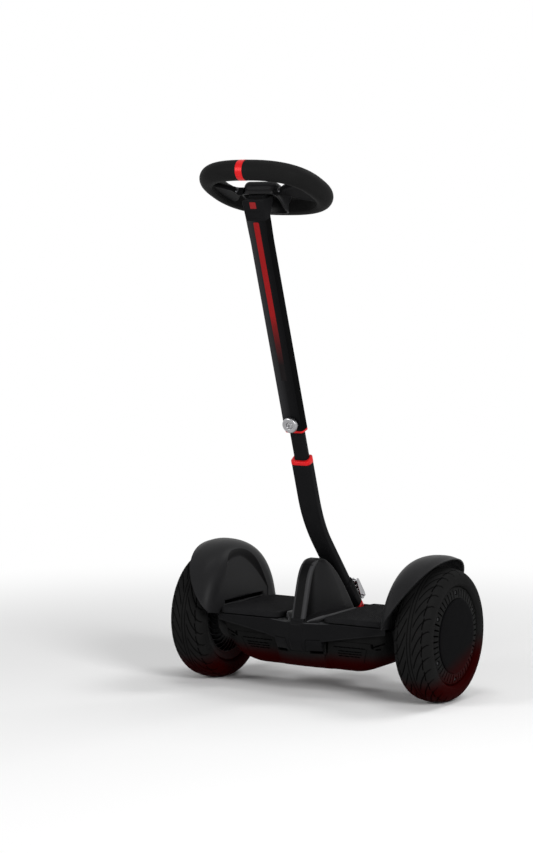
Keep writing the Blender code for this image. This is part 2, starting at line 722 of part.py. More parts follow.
def tray_section(x):
    """The lower tray's outer face at one X, from its front top edge under to its rear one."""
    share = max(0.0, (abs(x) - TRAY_FLAT_HALF) / (DECK_HALF_LENGTH - TRAY_FLAT_HALF))
    floor = TRAY_BOTTOM + TRAY_END_RISE * share ** 1.8
    turn = max(0.0, (abs(x) - TRAY_FACE_HALF) / (DECK_HALF_LENGTH - TRAY_FACE_HALF))
    front = TRAY_FRONT - (TRAY_FRONT - TRAY_END_FRONT) * turn
    height = TRAY_TOP - floor
    half = [(front - TRAY_TUCK * level ** 2, TRAY_TOP - height * (1 - (1 - level) ** 2))
            for level in (0.0, 0.30, 0.65, 1.0)]
    past_chin = abs(x) - CHIN_TOP_HALF - CHIN_SIDE_GAP
    back = CHIN_CLEARANCE * (1 - smooth_step(past_chin / CHIN_STEP_LENGTH))
    tail = nose(x, TAIL_REACH, TAIL_FLAT, TAIL_HALF_WIDTH)
    rear = [(x, y + tail * ((z - floor) / height) ** 1.4, z) for y, z in reversed(half)]
    return [(x, back - y, z) for y, z in half] + rear


def lower_tray(frame, colours):
    """The tray under the frame, which holds the battery."""
    chin_side = CHIN_TOP_HALF + CHIN_SIDE_GAP
    places = (0.0, TAIL_FLAT, (TAIL_FLAT + chin_side) / 2, chin_side, chin_side + CHIN_STEP_LENGTH,
              TRAY_FLAT_HALF, (TRAY_FLAT_HALF + TRAY_FACE_HALF) / 2, TRAY_FACE_HALF,
              (TRAY_FACE_HALF + DECK_HALF_LENGTH) / 2, DECK_HALF_LENGTH)
    item = sheet("lower_tray", [tray_section(x) for x in places])
    wall_ready(item)
    item.data.flip_normals()
    mirror_x(item)
    wall(item, TRAY_WALL)
    return dress(place(item, frame), colours["matt"])


def main_frame(frame, colours):
    """The cast frame between the axles, ribbed and open underneath."""
    low = TRAY_TOP + 3 * GAP
    end = DECK_HALF_LENGTH - GAP
    side = (FRAME_SHOULDER, FRAME_FRONT)
    corner = (end, FRAME_END_FRONT)
    outline = []
    for sx, sy, pair in ((1, -1, (side, corner)), (1, 1, (corner, side)),
                         (-1, 1, (side, corner)), (-1, -1, (corner, side))):
        outline += [(sx * x, sy * y) for x, y in pair]
    item = prism("main_frame", outline, low, FRAME_TOP)
    inner = FRAME_FRONT - FRAME_WALL
    end_inner = inner - FRAME_WALL
    for sx, label in SIDES:
        frame_bay(item, frame, f"{label}_inner_bay", sx * FRAME_BAYS[0], sx * FRAME_BAYS[1],
                  -inner, inner)
        frame_bay(item, frame, f"{label}_outer_bay", sx * (FRAME_BAYS[1] + FRAME_RIB),
                  sx * FRAME_BAYS[2], -end_inner, end_inner)
    middle = FRAME_BAYS[0] - FRAME_RIB
    frame_bay(item, frame, "front_bay", -middle, middle, -inner, -FRAME_RIB / 2)
    frame_bay(item, frame, "rear_bay", -middle, middle, FRAME_RIB / 2, inner)
    for side, label in SIDES:
        start = (side * (DECK_HALF_LENGTH - AXLE_SEAT - BORE_END_GAP), 0, WHEEL_RADIUS)
        stop = (side * (end + FRAME_RIB), 0, WHEEL_RADIUS)
        bore = rod(f"{label}_axle_bore", AXLE_RADIUS + GAP, start, stop, SHAFT_STEPS)
        cut(item, cutter(bore, frame))
    bore = rod("pivot_bore", BUSH_RADIUS + GAP, (0, -2 * FRAME_RIB, PIVOT_HEIGHT),
               (0, FRAME_FRONT + FRAME_RIB, PIVOT_HEIGHT), SHAFT_STEPS)
    cut(item, cutter(bore, frame))
    return dress(place(item, frame), colours["frame"])


def frame_bay(item, frame, name, x0, x1, y0, y1):
    """Opens one bay of the frame from below, up to the wall under the deck."""
    top = FRAME_TOP - FRAME_WALL
    low = TRAY_TOP - FRAME_WALL
    bay = block(name, (abs(x1 - x0), y1 - y0, top - low),
                ((x0 + x1) / 2, (y0 + y1) / 2, (top + low) / 2))
    cut(item, cutter(bay, frame))


def foot_mats(frame, colours):
    """Two rubber mats that are pressed down a little to tell that a rider stands on them."""
    low = DECK_HEIGHT + MAT_LIFT
    for side, label in SIDES:
        outline = rounded(MAT_OUTER - MAT_INNER, 2 * MAT_HALF_DEPTH, MAT_CORNER)
        middle = side * (MAT_OUTER + MAT_INNER) / 2
        rings = [at_height(outline, 0.0), at_height(outline, MAT_THICKNESS - MAT_EDGE)]
        for inset, drop in ((0.3 * MAT_EDGE, 0.3 * MAT_EDGE), (MAT_EDGE, 0.0)):
            small = rounded(MAT_OUTER - MAT_INNER - 2 * inset, 2 * MAT_HALF_DEPTH - 2 * inset,
                            MAT_CORNER - inset)
            rings.append(at_height(small, MAT_THICKNESS - drop))
        mat = loft(f"{label}_foot_mat", rings)
        dress(place(mat, frame, (middle, 0, low)), colours["mat"])


def fender_curve():
    """Places along X and radii from the axle: up the flat wall, then over a superelliptic dome."""
    power = 2 / FENDER_SQUARENESS
    points = [(FENDER_INNER, FENDER_WALL_FOOT)]
    for turn in np.linspace(0.0, math.pi / 2, 25):
        points.append((FENDER_CROWN - (FENDER_CROWN - FENDER_INNER) * math.cos(turn) ** power,
                       FENDER_WALL_TOP + (FENDER_RADIUS - FENDER_WALL_TOP) * math.sin(turn) ** power))
    points.append((FENDER_EDGE_TOP, FENDER_RADIUS - FENDER_EDGE_DROP))
    points = np.array(points)
    steps = np.hypot(*np.diff(points, axis=0).T)
    return points, np.concatenate([[0.0], np.cumsum(steps)])


def fender_edge(angle):
    """How far out the free edge lies, at an angle in degrees from the front over to the rear."""
    rise = min(angle, 180.0 - angle)
    share = (rise - FENDER_TIP_ANGLE) / (90.0 - FENDER_TIP_ANGLE)
    tip = FENDER_INNER + FENDER_TIP_WIDTH
    return tip + (FENDER_EDGE_TOP - tip) * (1 - (1 - share) ** 2.2)


def fenders(frame, colours):
    """A dome over each tyre, with the flat inner wall that closes the wheel off from the feet."""
    curve, lengths = fender_curve()
    for side, label in SIDES:
        rows = []
        for angle in np.linspace(FENDER_TIP_ANGLE, 180 - FENDER_TIP_ANGLE, FENDER_ROWS):
            turn = math.radians(angle)
            foot_radius = (FENDER_FOOT - WHEEL_RADIUS) / math.sin(turn)
            first = float(np.interp(foot_radius, curve[:, 1], lengths))
            last = float(np.interp(fender_edge(angle), curve[:, 0], lengths))
            row = []
            for along in np.linspace(first, max(last, first + FENDER_TIP_WIDTH), FENDER_COLUMNS):
                x, radius = (float(np.interp(along, lengths, column)) for column in curve.T)
                row.append((side * x, -radius * math.cos(turn), WHEEL_RADIUS + radius * math.sin(turn)))
            rows.append(row)
        item = wall_ready(sheet(f"{label}_fender", rows))
        wall(item, FENDER_WALL)
        dress(place(item, frame), colours["shell"], 50)


def hump_reach(z):
    """Y of the hump's front and rear faces at one height: two flanks of a bell."""
    share = (z - DECK_HEIGHT) / (HUMP_TOP - DECK_HEIGHT)
    front = HUMP_PEAK + (-HUMP_FRONT - HUMP_PEAK) * (1 - share ** 1.70) ** 0.77
    rear = HUMP_PEAK + (HUMP_REAR - HUMP_PEAK) * (1 - share ** 1.05) ** 0.93
    return front, rear


def hump_ring(z):
    """One level section of the hump: a flat band in front, flanks that swell, a narrow back."""
    front, rear = hump_reach(z)
    low = 1.0 - (z - DECK_HEIGHT) / (HUMP_TOP - DECK_HEIGHT)
    swell = HUMP_BAND + (HUMP_BASE - HUMP_BAND) * low ** 1.3
    between = (HUMP_BAND + swell) / 2
    start, full, end = HUMP_FLANK
    flank = ((0.0, HUMP_BAND - HUMP_CORNER), (HUMP_EDGE, HUMP_BAND),
             (start, HUMP_BAND - HUMP_DRAW), ((start + full) / 2, between), (full, swell),
             ((full + end) / 2, between), (end, HUMP_BAND - HUMP_DRAW),
             (1.0, HUMP_BAND - HUMP_REAR_CORNER))
    right = [(half, front + (rear - front) * share, z) for share, half in flank]
    return right + [(-x, y, z) for x, y, z in reversed(right)]


def hump(frame, colours):
    """The bell-shaped hump, its lower front band and the round button in it."""
    foot = DECK_HEIGHT + GAP
    shares = (0, 0.15, 0.32, 0.50, 0.66, 0.80, 0.90, 0.96, 0.992)
    item = loft("hump_cover", [hump_ring(foot + (HUMP_TOP - foot) * share) for share in shares])
    rings = []
    half = HUMP_BAND - HUMP_WALL
    inset = 1.5 * HUMP_WALL
    hollow_top = BUTTON_HEIGHT - BUTTON_RADIUS - BUTTON_DEPTH
    for drop, z in ((HUMP_WALL, foot), (0.0, (2 * foot + hollow_top) / 3), (0.0, hollow_top)):
        front, rear = hump_reach(z)
        rings.append([(half, front + inset, z - drop), (half, rear - inset, z - drop),
                      (-half, rear - inset, z - drop), (-half, front + inset, z - drop)])
    cut(item, cutter(loft("hump_hollow", rings), frame))
    low_y, high_y = (hump_reach(BUTTON_HEIGHT + rise)[0] for rise in (-BUTTON_RADIUS, BUTTON_RADIUS))
    lean = math.atan2(high_y - low_y, 2 * BUTTON_RADIUS)
    seat = empty("power_button_axis", frame, (0, hump_reach(BUTTON_HEIGHT)[0], BUTTON_HEIGHT),
                 (math.pi / 2 - lean, 0, 0))
    pocket = rod("button_pocket", BUTTON_RADIUS + GAP, (0, 0, -BUTTON_DEPTH - BUTTON_TRAVEL - GAP),
                 (0, 0, BUTTON_DEPTH))
    cut(item, cutter(pocket, seat))
    dress(place(item, frame), colours["shell"], 50)
    button = rod("power_button", BUTTON_RADIUS, (0, 0, -BUTTON_DEPTH), (0, 0, BUTTON_PROUD))
    dress(place(button, seat), colours["matt"])


def front_band(frame, colours):
    """The band's lower part, on the chin."""
    low, middle, high = apron_line(0.0)
    rings = []
    for share, half in ((0.06, BAND_FOOT_HALF), (0.45, HUMP_BAND), (1.0, HUMP_BAND)):
        rings.append(band_ring(low[1] + (middle[1] - low[1]) * share - 2 * GAP,
                               low[2] + (middle[2] - low[2]) * share, half))
    rings.append(band_ring(high[1] - 2 * GAP, high[2], HUMP_BAND))
    dress(place(loft("front_band", rings), frame), colours["shell"], 50)


def band_ring(face, z, half):
    """One level section of the band below the deck."""
    out = face - BAND_THICKNESS
    return [(half, face, z), (half, out + BAND_EDGE, z), (half - BAND_EDGE, out, z),
            (-half + BAND_EDGE, out, z), (-half, out + BAND_EDGE, z), (-half, face, z)]


def inner_parts(frame, colours):
    """What the body carries inside: the battery."""
    floor = TRAY_BOTTOM + TRAY_WALL
    height = TRAY_TOP - floor - PACK_HEADROOM
    pack = block("battery_pack", (PACK_LENGTH, PACK_DEPTH, height),
                 (0, PACK_Y, floor + PACK_LIFT + height / 2))
    dress(place(bevel(pack, PACK_EDGE, 1), frame), colours["pack"])


# Column

def leg_point(height):
    """Y and Z of a point on the leg's middle line, counted up from the base ring's lower face."""
    lean = math.radians(LEG_LEAN)
    down = LEG_FOOT - height
    return BEND_Y + down * math.sin(lean), BEND_Z - down * math.cos(lean)


def column_point(height):
    """Y and Z of a point on the upper middle line, counted up from the upper tube's foot."""
    lean = math.radians(COLUMN_LEAN)
    along = (UPPER_FOOT_Z - BEND_Z) / math.cos(lean) + height
    return BEND_Y - along * math.sin(lean), BEND_Z + along * math.cos(lean)


def tube_ring(width, depth, radius, y, z, lean, back=0.0):
    """A rounded rectangle square to a middle line that leans forward by an angle in degrees."""
    turn = math.radians(lean)
    ring = []
    for across, rear in rounded(width, depth, radius):
        off = rear + back
        ring.append((across, y + off * math.cos(turn), z + off * math.sin(turn)))
    return ring


def column_base(root, leg, colours):
    """The pivot shaft with its bushes, the socket on it and the red ring at the column's foot."""
    shaft = rod("pivot_shaft", PIVOT_RADIUS, (0, PIVOT_FRONT, PIVOT_HEIGHT),
                (0, PIVOT_BACK, PIVOT_HEIGHT))
    dress(place(bevel(shaft, 0.0006, 1), root), colours["steel"])
    inner = PIVOT_RADIUS + GAP
    rear_wall = FRAME_FRONT - FRAME_WALL
    front = turned("front_bush", ring_profile(inner, BUSH_RADIUS, -FRAME_RIB / 2, FRAME_RIB / 2),
                   SHAFT_STEPS)
    place(front, root, (0, 0, PIVOT_HEIGHT), (-math.pi / 2, 0, 0))
    flanged = [(inner, BUSH_FLANGE), (BUSH_FLANGE_RADIUS, BUSH_FLANGE), (BUSH_FLANGE_RADIUS, 0.0),
               (BUSH_RADIUS, 0.0), (BUSH_RADIUS, -FRAME_WALL), (inner, -FRAME_WALL)]
    rear = turned("rear_bush", flanged, SHAFT_STEPS)
    place(rear, root, (0, rear_wall + FRAME_WALL + GAP, PIVOT_HEIGHT), (-math.pi / 2, 0, 0))
    for item in (front, rear):
        dress(item, colours["silver"])
    outer = (PLUG_WIDTH + 2 * SOCKET_WALL, PLUG_DEPTH + 2 * SOCKET_WALL, 0.006)
    depth = PLUG_LENGTH - BASE_RING_HEIGHT - GAP
    socket = prism("column_socket", rounded(*outer), -depth - GAP - SOCKET_WALL, -GAP)
    boss = rod("pivot_boss", PIVOT_BOSS_RADIUS, (0, PIVOT_BOSS_FRONT, PIVOT_HEIGHT),
               (0, PIVOT_BACK + 0.004, PIVOT_HEIGHT), SHAFT_STEPS)
    fuse(socket, cutter(boss, root))
    pocket = prism("plug_pocket", rounded(PLUG_WIDTH + 2 * GAP, PLUG_DEPTH + 2 * GAP, 0.005),
                   -depth - GAP, 0.010)
    cut(socket, cutter(pocket, leg))
    bore = rod("socket_bore", PIVOT_RADIUS + GAP, (0, PIVOT_BOSS_FRONT - 0.010, PIVOT_HEIGHT),
               (0, PIVOT_BACK + GAP, PIVOT_HEIGHT), SHAFT_STEPS)
    cut(socket, cutter(bore, root))
    dress(place(socket, leg), colours["cast"])
    ring = sleeve("base_ring", (BASE_RING_WIDTH, BASE_RING_DEPTH, 0.0085),
                  (PLUG_WIDTH + 2 * GAP, PLUG_DEPTH + 2 * GAP, 0.005), 0.0, BASE_RING_HEIGHT)
    dress(place(ring, leg), colours["red"])


def sleeve(name, outer, inner, low, high, back=0.0, slant=0.0):
    """A ring between two rounded rectangles. Its bore may sit further back, and its top may slant."""
    outside = rounded(*outer)
    inside = [(x, y + back) for x, y in rounded(*inner)]

    def top(outline):
        return [(x, y, high - slant * (0.5 - y / outer[1])) for x, y in outline]

    return loft(name, [at_height(outside, low), top(outside), top(inside), at_height(inside, low)],
                loop=True)


def lower_column(root, leg, top, colours):
    """The clamp collar, the bent lower tube with its plug, and the inner tube fixed in its top."""
    foot = BASE_RING_HEIGHT + GAP
    sections = []

    def add(width, depth, radius, point, lean):
        sections.append(tube_ring(width, depth, radius, point[0], point[1], lean))

    plug_foot = leg_point(foot - PLUG_LENGTH)
    add(PLUG_WIDTH, PLUG_DEPTH, 0.005, plug_foot, LEG_LEAN)
    add(PLUG_WIDTH, PLUG_DEPTH, 0.005, leg_point(foot), LEG_LEAN)
    add(LEG_WIDTH, LEG_DEPTH, TUBE_CORNER, leg_point(foot), LEG_LEAN)
    lean_low, lean_high = math.radians(LEG_LEAN), math.radians(COLUMN_LEAN)
    tangent = BEND_RADIUS * math.tan((lean_low - lean_high) / 2)
    start_y, start_z = leg_point(LEG_FOOT - tangent)
    centre_y = start_y + BEND_RADIUS * math.cos(lean_low)
    centre_z = start_z + BEND_RADIUS * math.sin(lean_low)
    steps = 5
    for k in range(steps + 1):
        share = k / steps
        lean = LEG_LEAN + (COLUMN_LEAN - LEG_LEAN) * share
        turn = math.radians(lean)
        point = (centre_y - BEND_RADIUS * math.cos(turn), centre_z - BEND_RADIUS * math.sin(turn))
        width = LEG_WIDTH + (LOWER_TUBE_WIDTH - LEG_WIDTH) * share
        depth = LEG_DEPTH + (LOWER_TUBE_DEPTH - LEG_DEPTH) * share
        add(width, depth, TUBE_CORNER, point, lean)
    tube_top = -RED_COLLAR_TOP - RED_COLLAR_HEIGHT - GAP
    add(LOWER_TUBE_WIDTH, LOWER_TUBE_DEPTH, TUBE_CORNER, column_point(tube_top), COLUMN_LEAN)
    tube = loft("lower_tube", sections)
    bore = (INNER_TUBE_WIDTH + 2 * GAP, INNER_TUBE_DEPTH + 2 * GAP, INNER_TUBE_CORNER)
    pocket = prism("inner_tube_pocket", rounded(*bore), -INNER_TUBE_BELOW - GAP, 0.0)
    cut(tube, cutter(pocket, top, (0, INNER_TUBE_OFFSET, 0)))
    dress(place(tube, root), colours["coat"], 50)
    collar = sleeve("red_collar", (LOWER_TUBE_WIDTH + 0.0004, LOWER_TUBE_DEPTH + 0.0004, TUBE_CORNER),
                    bore, -RED_COLLAR_TOP - RED_COLLAR_HEIGHT, -RED_COLLAR_TOP, INNER_TUBE_OFFSET,
                    RED_COLLAR_SLANT)
    dress(place(collar, top), colours["red"])
    inner = prism("inner_tube", rounded(INNER_TUBE_WIDTH, INNER_TUBE_DEPTH, INNER_TUBE_CORNER),
                  -INNER_TUBE_BELOW, INNER_TUBE_ABOVE)
    hollow = prism("inner_tube_bore", rounded(INNER_TUBE_WIDTH - 2 * TUBE_WALL,
                                              INNER_TUBE_DEPTH - 2 * TUBE_WALL, 0.004),
                   -INNER_TUBE_BELOW - 0.010, INNER_TUBE_ABOVE + 0.010)
    cut(inner, cutter(hollow, top, (0, INNER_TUBE_OFFSET, 0)))
    dress(place(inner, top, (0, INNER_TUBE_OFFSET, 0)), colours["coat"])


def clamp(leg, colours):
    """The clamp collar round the leg, its rear lug, and the silver lever on a pin."""
    low = BASE_RING_HEIGHT + GAP
    outline = rounded(CLAMP_WIDTH, CLAMP_DEPTH, CLAMP_CORNER)
    collar = bevel(prism("clamp_collar", outline, low, low + CLAMP_HEIGHT), CLAMP_EDGE, 1, 60)
    lug = lug_plate("clamp_lug", CLAMP_DEPTH / 2 - CLAMP_BURIED, low)
    fuse(collar, cutter(lug, leg))
    bore = prism("clamp_bore", rounded(LEG_WIDTH + 2 * GAP, LEG_DEPTH + 2 * GAP, TUBE_CORNER),
                 low - 0.010, low + CLAMP_HEIGHT + 0.010)
    cut(collar, cutter(bore, leg))
    pin_hole = rod("pin_bore", LEVER_PIN_RADIUS + GAP, (-0.030, LEVER_PIN_BACK, LEVER_PIN_HEIGHT),
                   (0.030, LEVER_PIN_BACK, LEVER_PIN_HEIGHT), 12)
    cut(collar, cutter(pin_hole, leg))
    dress(place(collar, leg), colours["coat"], 50)
    axis = empty("lever_axis", leg, (0, LEVER_PIN_BACK, LEVER_PIN_HEIGHT))
    lever = lever_body("release_lever")
    channel = block("lever_channel", (2 * (LEVER_HALF_WIDTH - LEVER_CHEEK), 0.020, 0.100),
                    (0, LEVER_HEAD - 0.0026 - 0.010, 0.020))
    cut(lever, cutter(channel, axis))
    window = block("lever_window", (0.040, 0.0060, 0.0200), (0, -0.0002, 0.0230))
    cut(lever, cutter(window, axis, (0, 0.0012, 0)))
    hole = rod("lever_bore", LEVER_PIN_RADIUS + GAP, (-0.030, 0, 0), (0.030, 0, 0), 12)
    cut(lever, cutter(hole, axis))
    dress(place(lever, axis), colours["silver"], 50)
    reach = LEVER_HALF_WIDTH + 0.0006
    pin = rod("lever_pin", LEVER_PIN_RADIUS, (-reach, LEVER_PIN_BACK, LEVER_PIN_HEIGHT),
              (reach, LEVER_PIN_BACK, LEVER_PIN_HEIGHT), 12)
    dress(place(pin, leg), colours["steel"])


def lug_plate(name, front, low):
    """The lug between the lever's cheeks: an arm down from the collar, round about the pin."""
    side = [(front, LUG_TOP), (front, low + LUG_STEP)]
    for angle in (-130, -85, -40, 5, 50):
        turn = math.radians(angle)
        side.append((LEVER_PIN_BACK + LUG_END_RADIUS * math.cos(turn),
                     LEVER_PIN_HEIGHT + LUG_END_RADIUS * math.sin(turn)))
    side.append((LEVER_PIN_BACK - LUG_END_RADIUS / 2, LEVER_PIN_HEIGHT + 2 * LUG_END_RADIUS))
    left = [(-LUG_HALF_WIDTH, y, z) for y, z in side]
    right = [(LUG_HALF_WIDTH, y, z) for y, z in side]
    return loft(name, [left, right])


def lever_body(name):
    """The lever seen from the side: a round foot about the pin and a handle with a rounded top."""
    side = []
    for k in range(9):
        angle = math.radians(180 + 180 * k / 8)
        side.append((LEVER_HEAD * math.cos(angle), LEVER_HEAD * math.sin(angle)))
    for k in range(5):
        angle = math.radians(180 * k / 4)
        side.append((LEVER_LEAN + LEVER_TIP * math.cos(angle),
                     LEVER_TOP - LEVER_TIP + LEVER_TIP * math.sin(angle)))
    left = [(-LEVER_HALF_WIDTH, y, z) for y, z in side]
    right = [(LEVER_HALF_WIDTH, y, z) for y, z in side]
    return loft(name, [left, right])


def upper_column(top, colours):
    """The upper tube with its trim ring and light strip, its head, and the knob that clamps it."""
    section = (UPPER_TUBE_WIDTH, UPPER_TUBE_DEPTH, UPPER_TUBE_CORNER)
    foot = TRIM_HEIGHT + GAP
    wide = (FLARE_WIDTH, UPPER_TUBE_DEPTH, UPPER_TUBE_CORNER)
    rings = [at_height(rounded(*section), foot), at_height(rounded(*section), FLARE_START),
             at_height(rounded(*wide), UPPER_LENGTH)]
    tube = loft("upper_tube", rings)
    bore = (INNER_TUBE_WIDTH + 2 * SLIDE_GAP, INNER_TUBE_DEPTH + 2 * SLIDE_GAP, INNER_TUBE_CORNER)
    hollow = prism("upper_tube_bore", rounded(*bore), foot - 0.010, UPPER_LENGTH + 0.010)
    cut(tube, cutter(hollow, top, (0, INNER_TUBE_OFFSET, 0)))
    front = -UPPER_TUBE_DEPTH / 2
    half = STRIP_WIDTH / 2
    groove = block("strip_groove", (STRIP_WIDTH + 2 * GAP, 2 * (STRIP_DEPTH + GAP),
                                    STRIP_TOP - STRIP_BOTTOM + 2 * GAP),
                   (0, front, (STRIP_TOP + STRIP_BOTTOM) / 2))
    cut(tube, cutter(groove, top))
    base = rod("knob_boss", KNOB_BOSS_RADIUS, (0, front + 0.002, KNOB_HEIGHT),
               (0, front - KNOB_BOSS_HEIGHT, KNOB_HEIGHT), SHAFT_STEPS)
    fuse(tube, cutter(base, top))
    tapping = rod("knob_tapping", KNOB_SCREW_RADIUS + GAP, (0, front - 0.010, KNOB_HEIGHT),
                  (0, front + 0.010, KNOB_HEIGHT), 16)
    cut(tube, cutter(tapping, top))
    dress(place(tube, top), colours["coat"], 50)
    trim = sleeve("trim_ring", section, bore, 0.0, TRIM_HEIGHT, INNER_TUBE_OFFSET)
    dress(place(trim, top), colours["red"])
    strip = block("light_strip", (2 * half, STRIP_DEPTH, STRIP_TOP - STRIP_BOTTOM),
                  (0, front + STRIP_DEPTH / 2 + TINY, (STRIP_TOP + STRIP_BOTTOM) / 2))
    dress(place(strip, top), colours["light"])
    column_head(top, colours)
    axis = empty("knob_axis", top, (0, front - KNOB_BOSS_HEIGHT - GAP, KNOB_HEIGHT),
                 (math.pi / 2, 0, 0))
    knob = turned("clamp_knob", knob_profile(), 16)
    dress(place(knob, axis), colours["silver"])
    reach = KNOB_BOSS_HEIGHT + GAP + UPPER_TUBE_DEPTH / 2 - bore[1] / 2 + INNER_TUBE_OFFSET - 0.0006
    screw = turned("knob_screw", [(0.0, KNOB_THICKNESS - 0.0008), (0.0060, KNOB_THICKNESS - 0.0008),
                                  (0.0060, KNOB_THICKNESS - 0.0030),
                                  (KNOB_SCREW_RADIUS, KNOB_THICKNESS - 0.0030),
                                  (KNOB_SCREW_RADIUS, -reach), (0.0, -reach)], 16, False)
    dress(place(screw, axis), colours["steel"])


def knob_profile():
    """The knob: a shallow cup with a rounded edge and a bore for its screw."""
    bore = KNOB_SCREW_RADIUS + GAP
    seat = KNOB_THICKNESS - 0.0030 - GAP
    return [(bore, seat), (0.0060 + GAP, seat), (0.0060 + GAP, KNOB_THICKNESS - 0.0006),
            (KNOB_RADIUS - 0.0040, KNOB_THICKNESS), (KNOB_RADIUS - 0.0012, KNOB_THICKNESS - 0.0010),
            (KNOB_RADIUS, KNOB_THICKNESS - 0.0030), (KNOB_RADIUS, 0.0012),
            (KNOB_RADIUS - 0.0012, 0.0), (bore, 0.0)]


def deep_ring(width, front, rear, radius, height):
    """A rounded rectangle given by its front and rear faces."""
    ring = rounded(width, rear - front, radius)
    return at_height(ring, height, 0.0, (front + rear) / 2)


def column_head(top, colours):
    """The head: its front stays flat, its rear swells back, and a neck enters the hub."""
    foot = UPPER_LENGTH + GAP
    front = -UPPER_TUBE_DEPTH / 2
    rear = UPPER_TUBE_DEPTH / 2
    middle = (foot + HEAD_TOP) / 2
    rings = [deep_ring(FLARE_WIDTH, front, rear, UPPER_TUBE_CORNER, foot),
             deep_ring((FLARE_WIDTH + HEAD_WIDTH) / 2, front, (rear + HEAD_REAR) / 2,
                       UPPER_TUBE_CORNER, middle),
             deep_ring(HEAD_WIDTH, front, HEAD_REAR, UPPER_TUBE_CORNER, HEAD_TOP),
             deep_ring(NECK_WIDTH, NECK_FRONT, NECK_REAR, 0.005, HEAD_TOP),
             deep_ring(NECK_WIDTH, NECK_FRONT, NECK_REAR, 0.005, NECK_TOP)]
    head = loft("column_head", rings)
    dress(place(head, top), colours["coat"], 50)


# Steering wheel

def ring_path(angle):
    """A point on the steering ring's middle line and the direction out from its centre line."""
    def at(turn):
        power = 2 / RING_SQUARENESS
        c, s = math.cos(turn), math.sin(turn)
        return Vector((RING_HALF_WIDTH * math.copysign(abs(c) ** power, c),
                       RING_HALF_DEPTH * math.copysign(abs(s) ** power, s), 0.0))
    step = 0.002
    along = (at(angle + step) - at(angle - step)).normalized()
    return at(angle), along.cross(Vector((0, 0, 1)))


def ring_tube(name, radius):
    """The steering ring's soft grip, or a cutter of the same shape."""
    rings = []
    turns = [2 * math.pi * j / RING_SECTION_STEPS for j in range(RING_SECTION_STEPS)]
    for k in range(RING_STEPS):
        point, out = ring_path(2 * math.pi * (k + 0.5) / RING_STEPS)
        rings.append([point + radius * (out * math.cos(a) + Vector((0, 0, math.sin(a))))
                      for a in turns])
    return loft(name, rings, loop=True)


def ring_mark(name):
    """The red band round the grip at its front."""
    rings = []
    half = RING_MARK_WIDTH / 2
    middle = ring_path(math.pi * (1 / RING_STEPS - 0.5))[0].y
    inner, outer = RING_TUBE_RADIUS + GAP, RING_TUBE_RADIUS + GAP + 0.0006
    for k in range(RING_SECTION_STEPS):
        turn = 2 * math.pi * k / RING_SECTION_STEPS
        ring = []
        for radius, x in ((inner, -half), (inner, half), (outer, half), (outer, -half)):
            ring.append((x, middle + radius * math.cos(turn), radius * math.sin(turn)))
        rings.append(ring)
    return loft(name, rings, loop=True)


def hub_ring(inset, height, tilt=0.0):
    """A level outline of the hub cover; its lip may fall towards the rear."""
    width = 2 * (HUB_HALF_WIDTH - inset)
    depth = HUB_REAR - HUB_FRONT - 2 * inset
    middle = (HUB_REAR + HUB_FRONT) / 2
    ring = []
    for x, y in rounded(width, depth, HUB_CORNER - inset * 0.8):
        share = smooth_step((y + depth / 2) / depth * 1.5 - 0.25)
        ring.append((x, y + middle, height + tilt * share))
    return ring


def steering(steer, colours):
    """The thick grip ring, its two spokes, the cover over the hub and what it hides."""
    drop = HUB_LIP_REAR - HUB_LIP_FRONT
    cover = loft("hub_cover", [hub_ring(0.0, HUB_LIP_FRONT, drop), hub_ring(0.0, -0.006),
                               hub_ring(0.002, HUB_TOP - 0.003), hub_ring(0.006, HUB_TOP)])
    hollow = loft("hub_hollow", [hub_ring(HUB_WALL, -0.060), hub_ring(HUB_WALL, -0.007),
                                 hub_ring(HUB_WALL + 0.004, HUB_TOP - HUB_WALL - DISPLAY_THICKNESS)])
    cut(cover, cutter(hollow, steer))
    seat_low = HUB_TOP - DISPLAY_THICKNESS
    middle = (HUB_FRONT + HUB_REAR) / 2
    recess = prism("display_recess", rounded(2 * (DISPLAY_HALF_WIDTH + GAP),
                                             2 * (DISPLAY_HALF_DEPTH + GAP), 0.006 + GAP),
                   seat_low, HUB_TOP + 0.010)
    cut(cover, cutter(recess, steer, (0, middle, 0)))
    dress(place(cover, steer), colours["shell"], 50)
    lens = prism("display_lens", rounded(2 * DISPLAY_HALF_WIDTH, 2 * DISPLAY_HALF_DEPTH, 0.006),
                 seat_low + GAP, HUB_TOP + 0.0006)
    dress(place(lens, steer, (0, middle, 0)), colours["lens"])
    bridge = block("steering_bridge", (0.052, 0.020, BRIDGE_HIGH - BRIDGE_LOW),
                   (0, -0.009, (BRIDGE_HIGH + BRIDGE_LOW) / 2))
    dress(place(bevel(bridge, 0.0015, 1), steer), colours["cast"])
    grip = ring_tube("steering_ring", RING_TUBE_RADIUS)
    dress(place(grip, steer), colours["grip"], 60)
    dress(place(ring_mark("steering_ring_mark"), steer), colours["red"])
    for side, label in SIDES:
        stations = ((SPOKE_ROOT, BOSS_Y, BOSS_Z, 0.0155, 0.0155, 0.0070),
                    (SPOKE_ROOT + 0.0100, BOSS_Y, BOSS_Z, 0.0155, 0.0155, 0.0070),
                    (SPOKE_ROOT + 0.0140, BOSS_Y + 0.001, BOSS_Z + 0.001, 0.024, 0.0110, 0.0050),
                    (0.0700, -0.008, -0.0105, 0.046, 0.0105, 0.0050),
                    (0.0960, -0.004, -0.0080, 0.074, 0.0105, 0.0050))
        rings = []
        for x, y, z, depth, height, radius in stations:
            rings.append([(side * x, y + a, z + b) for a, b in rounded(depth, height, radius)])
        spoke = loft(f"{label}_spoke", rings)
        cavity = ring_tube(f"{label}_ring_clearance", RING_TUBE_RADIUS + GAP)
        cut(spoke, cutter(cavity, steer))
        dress(place(spoke, steer), colours["cast"], 50)


# Rear

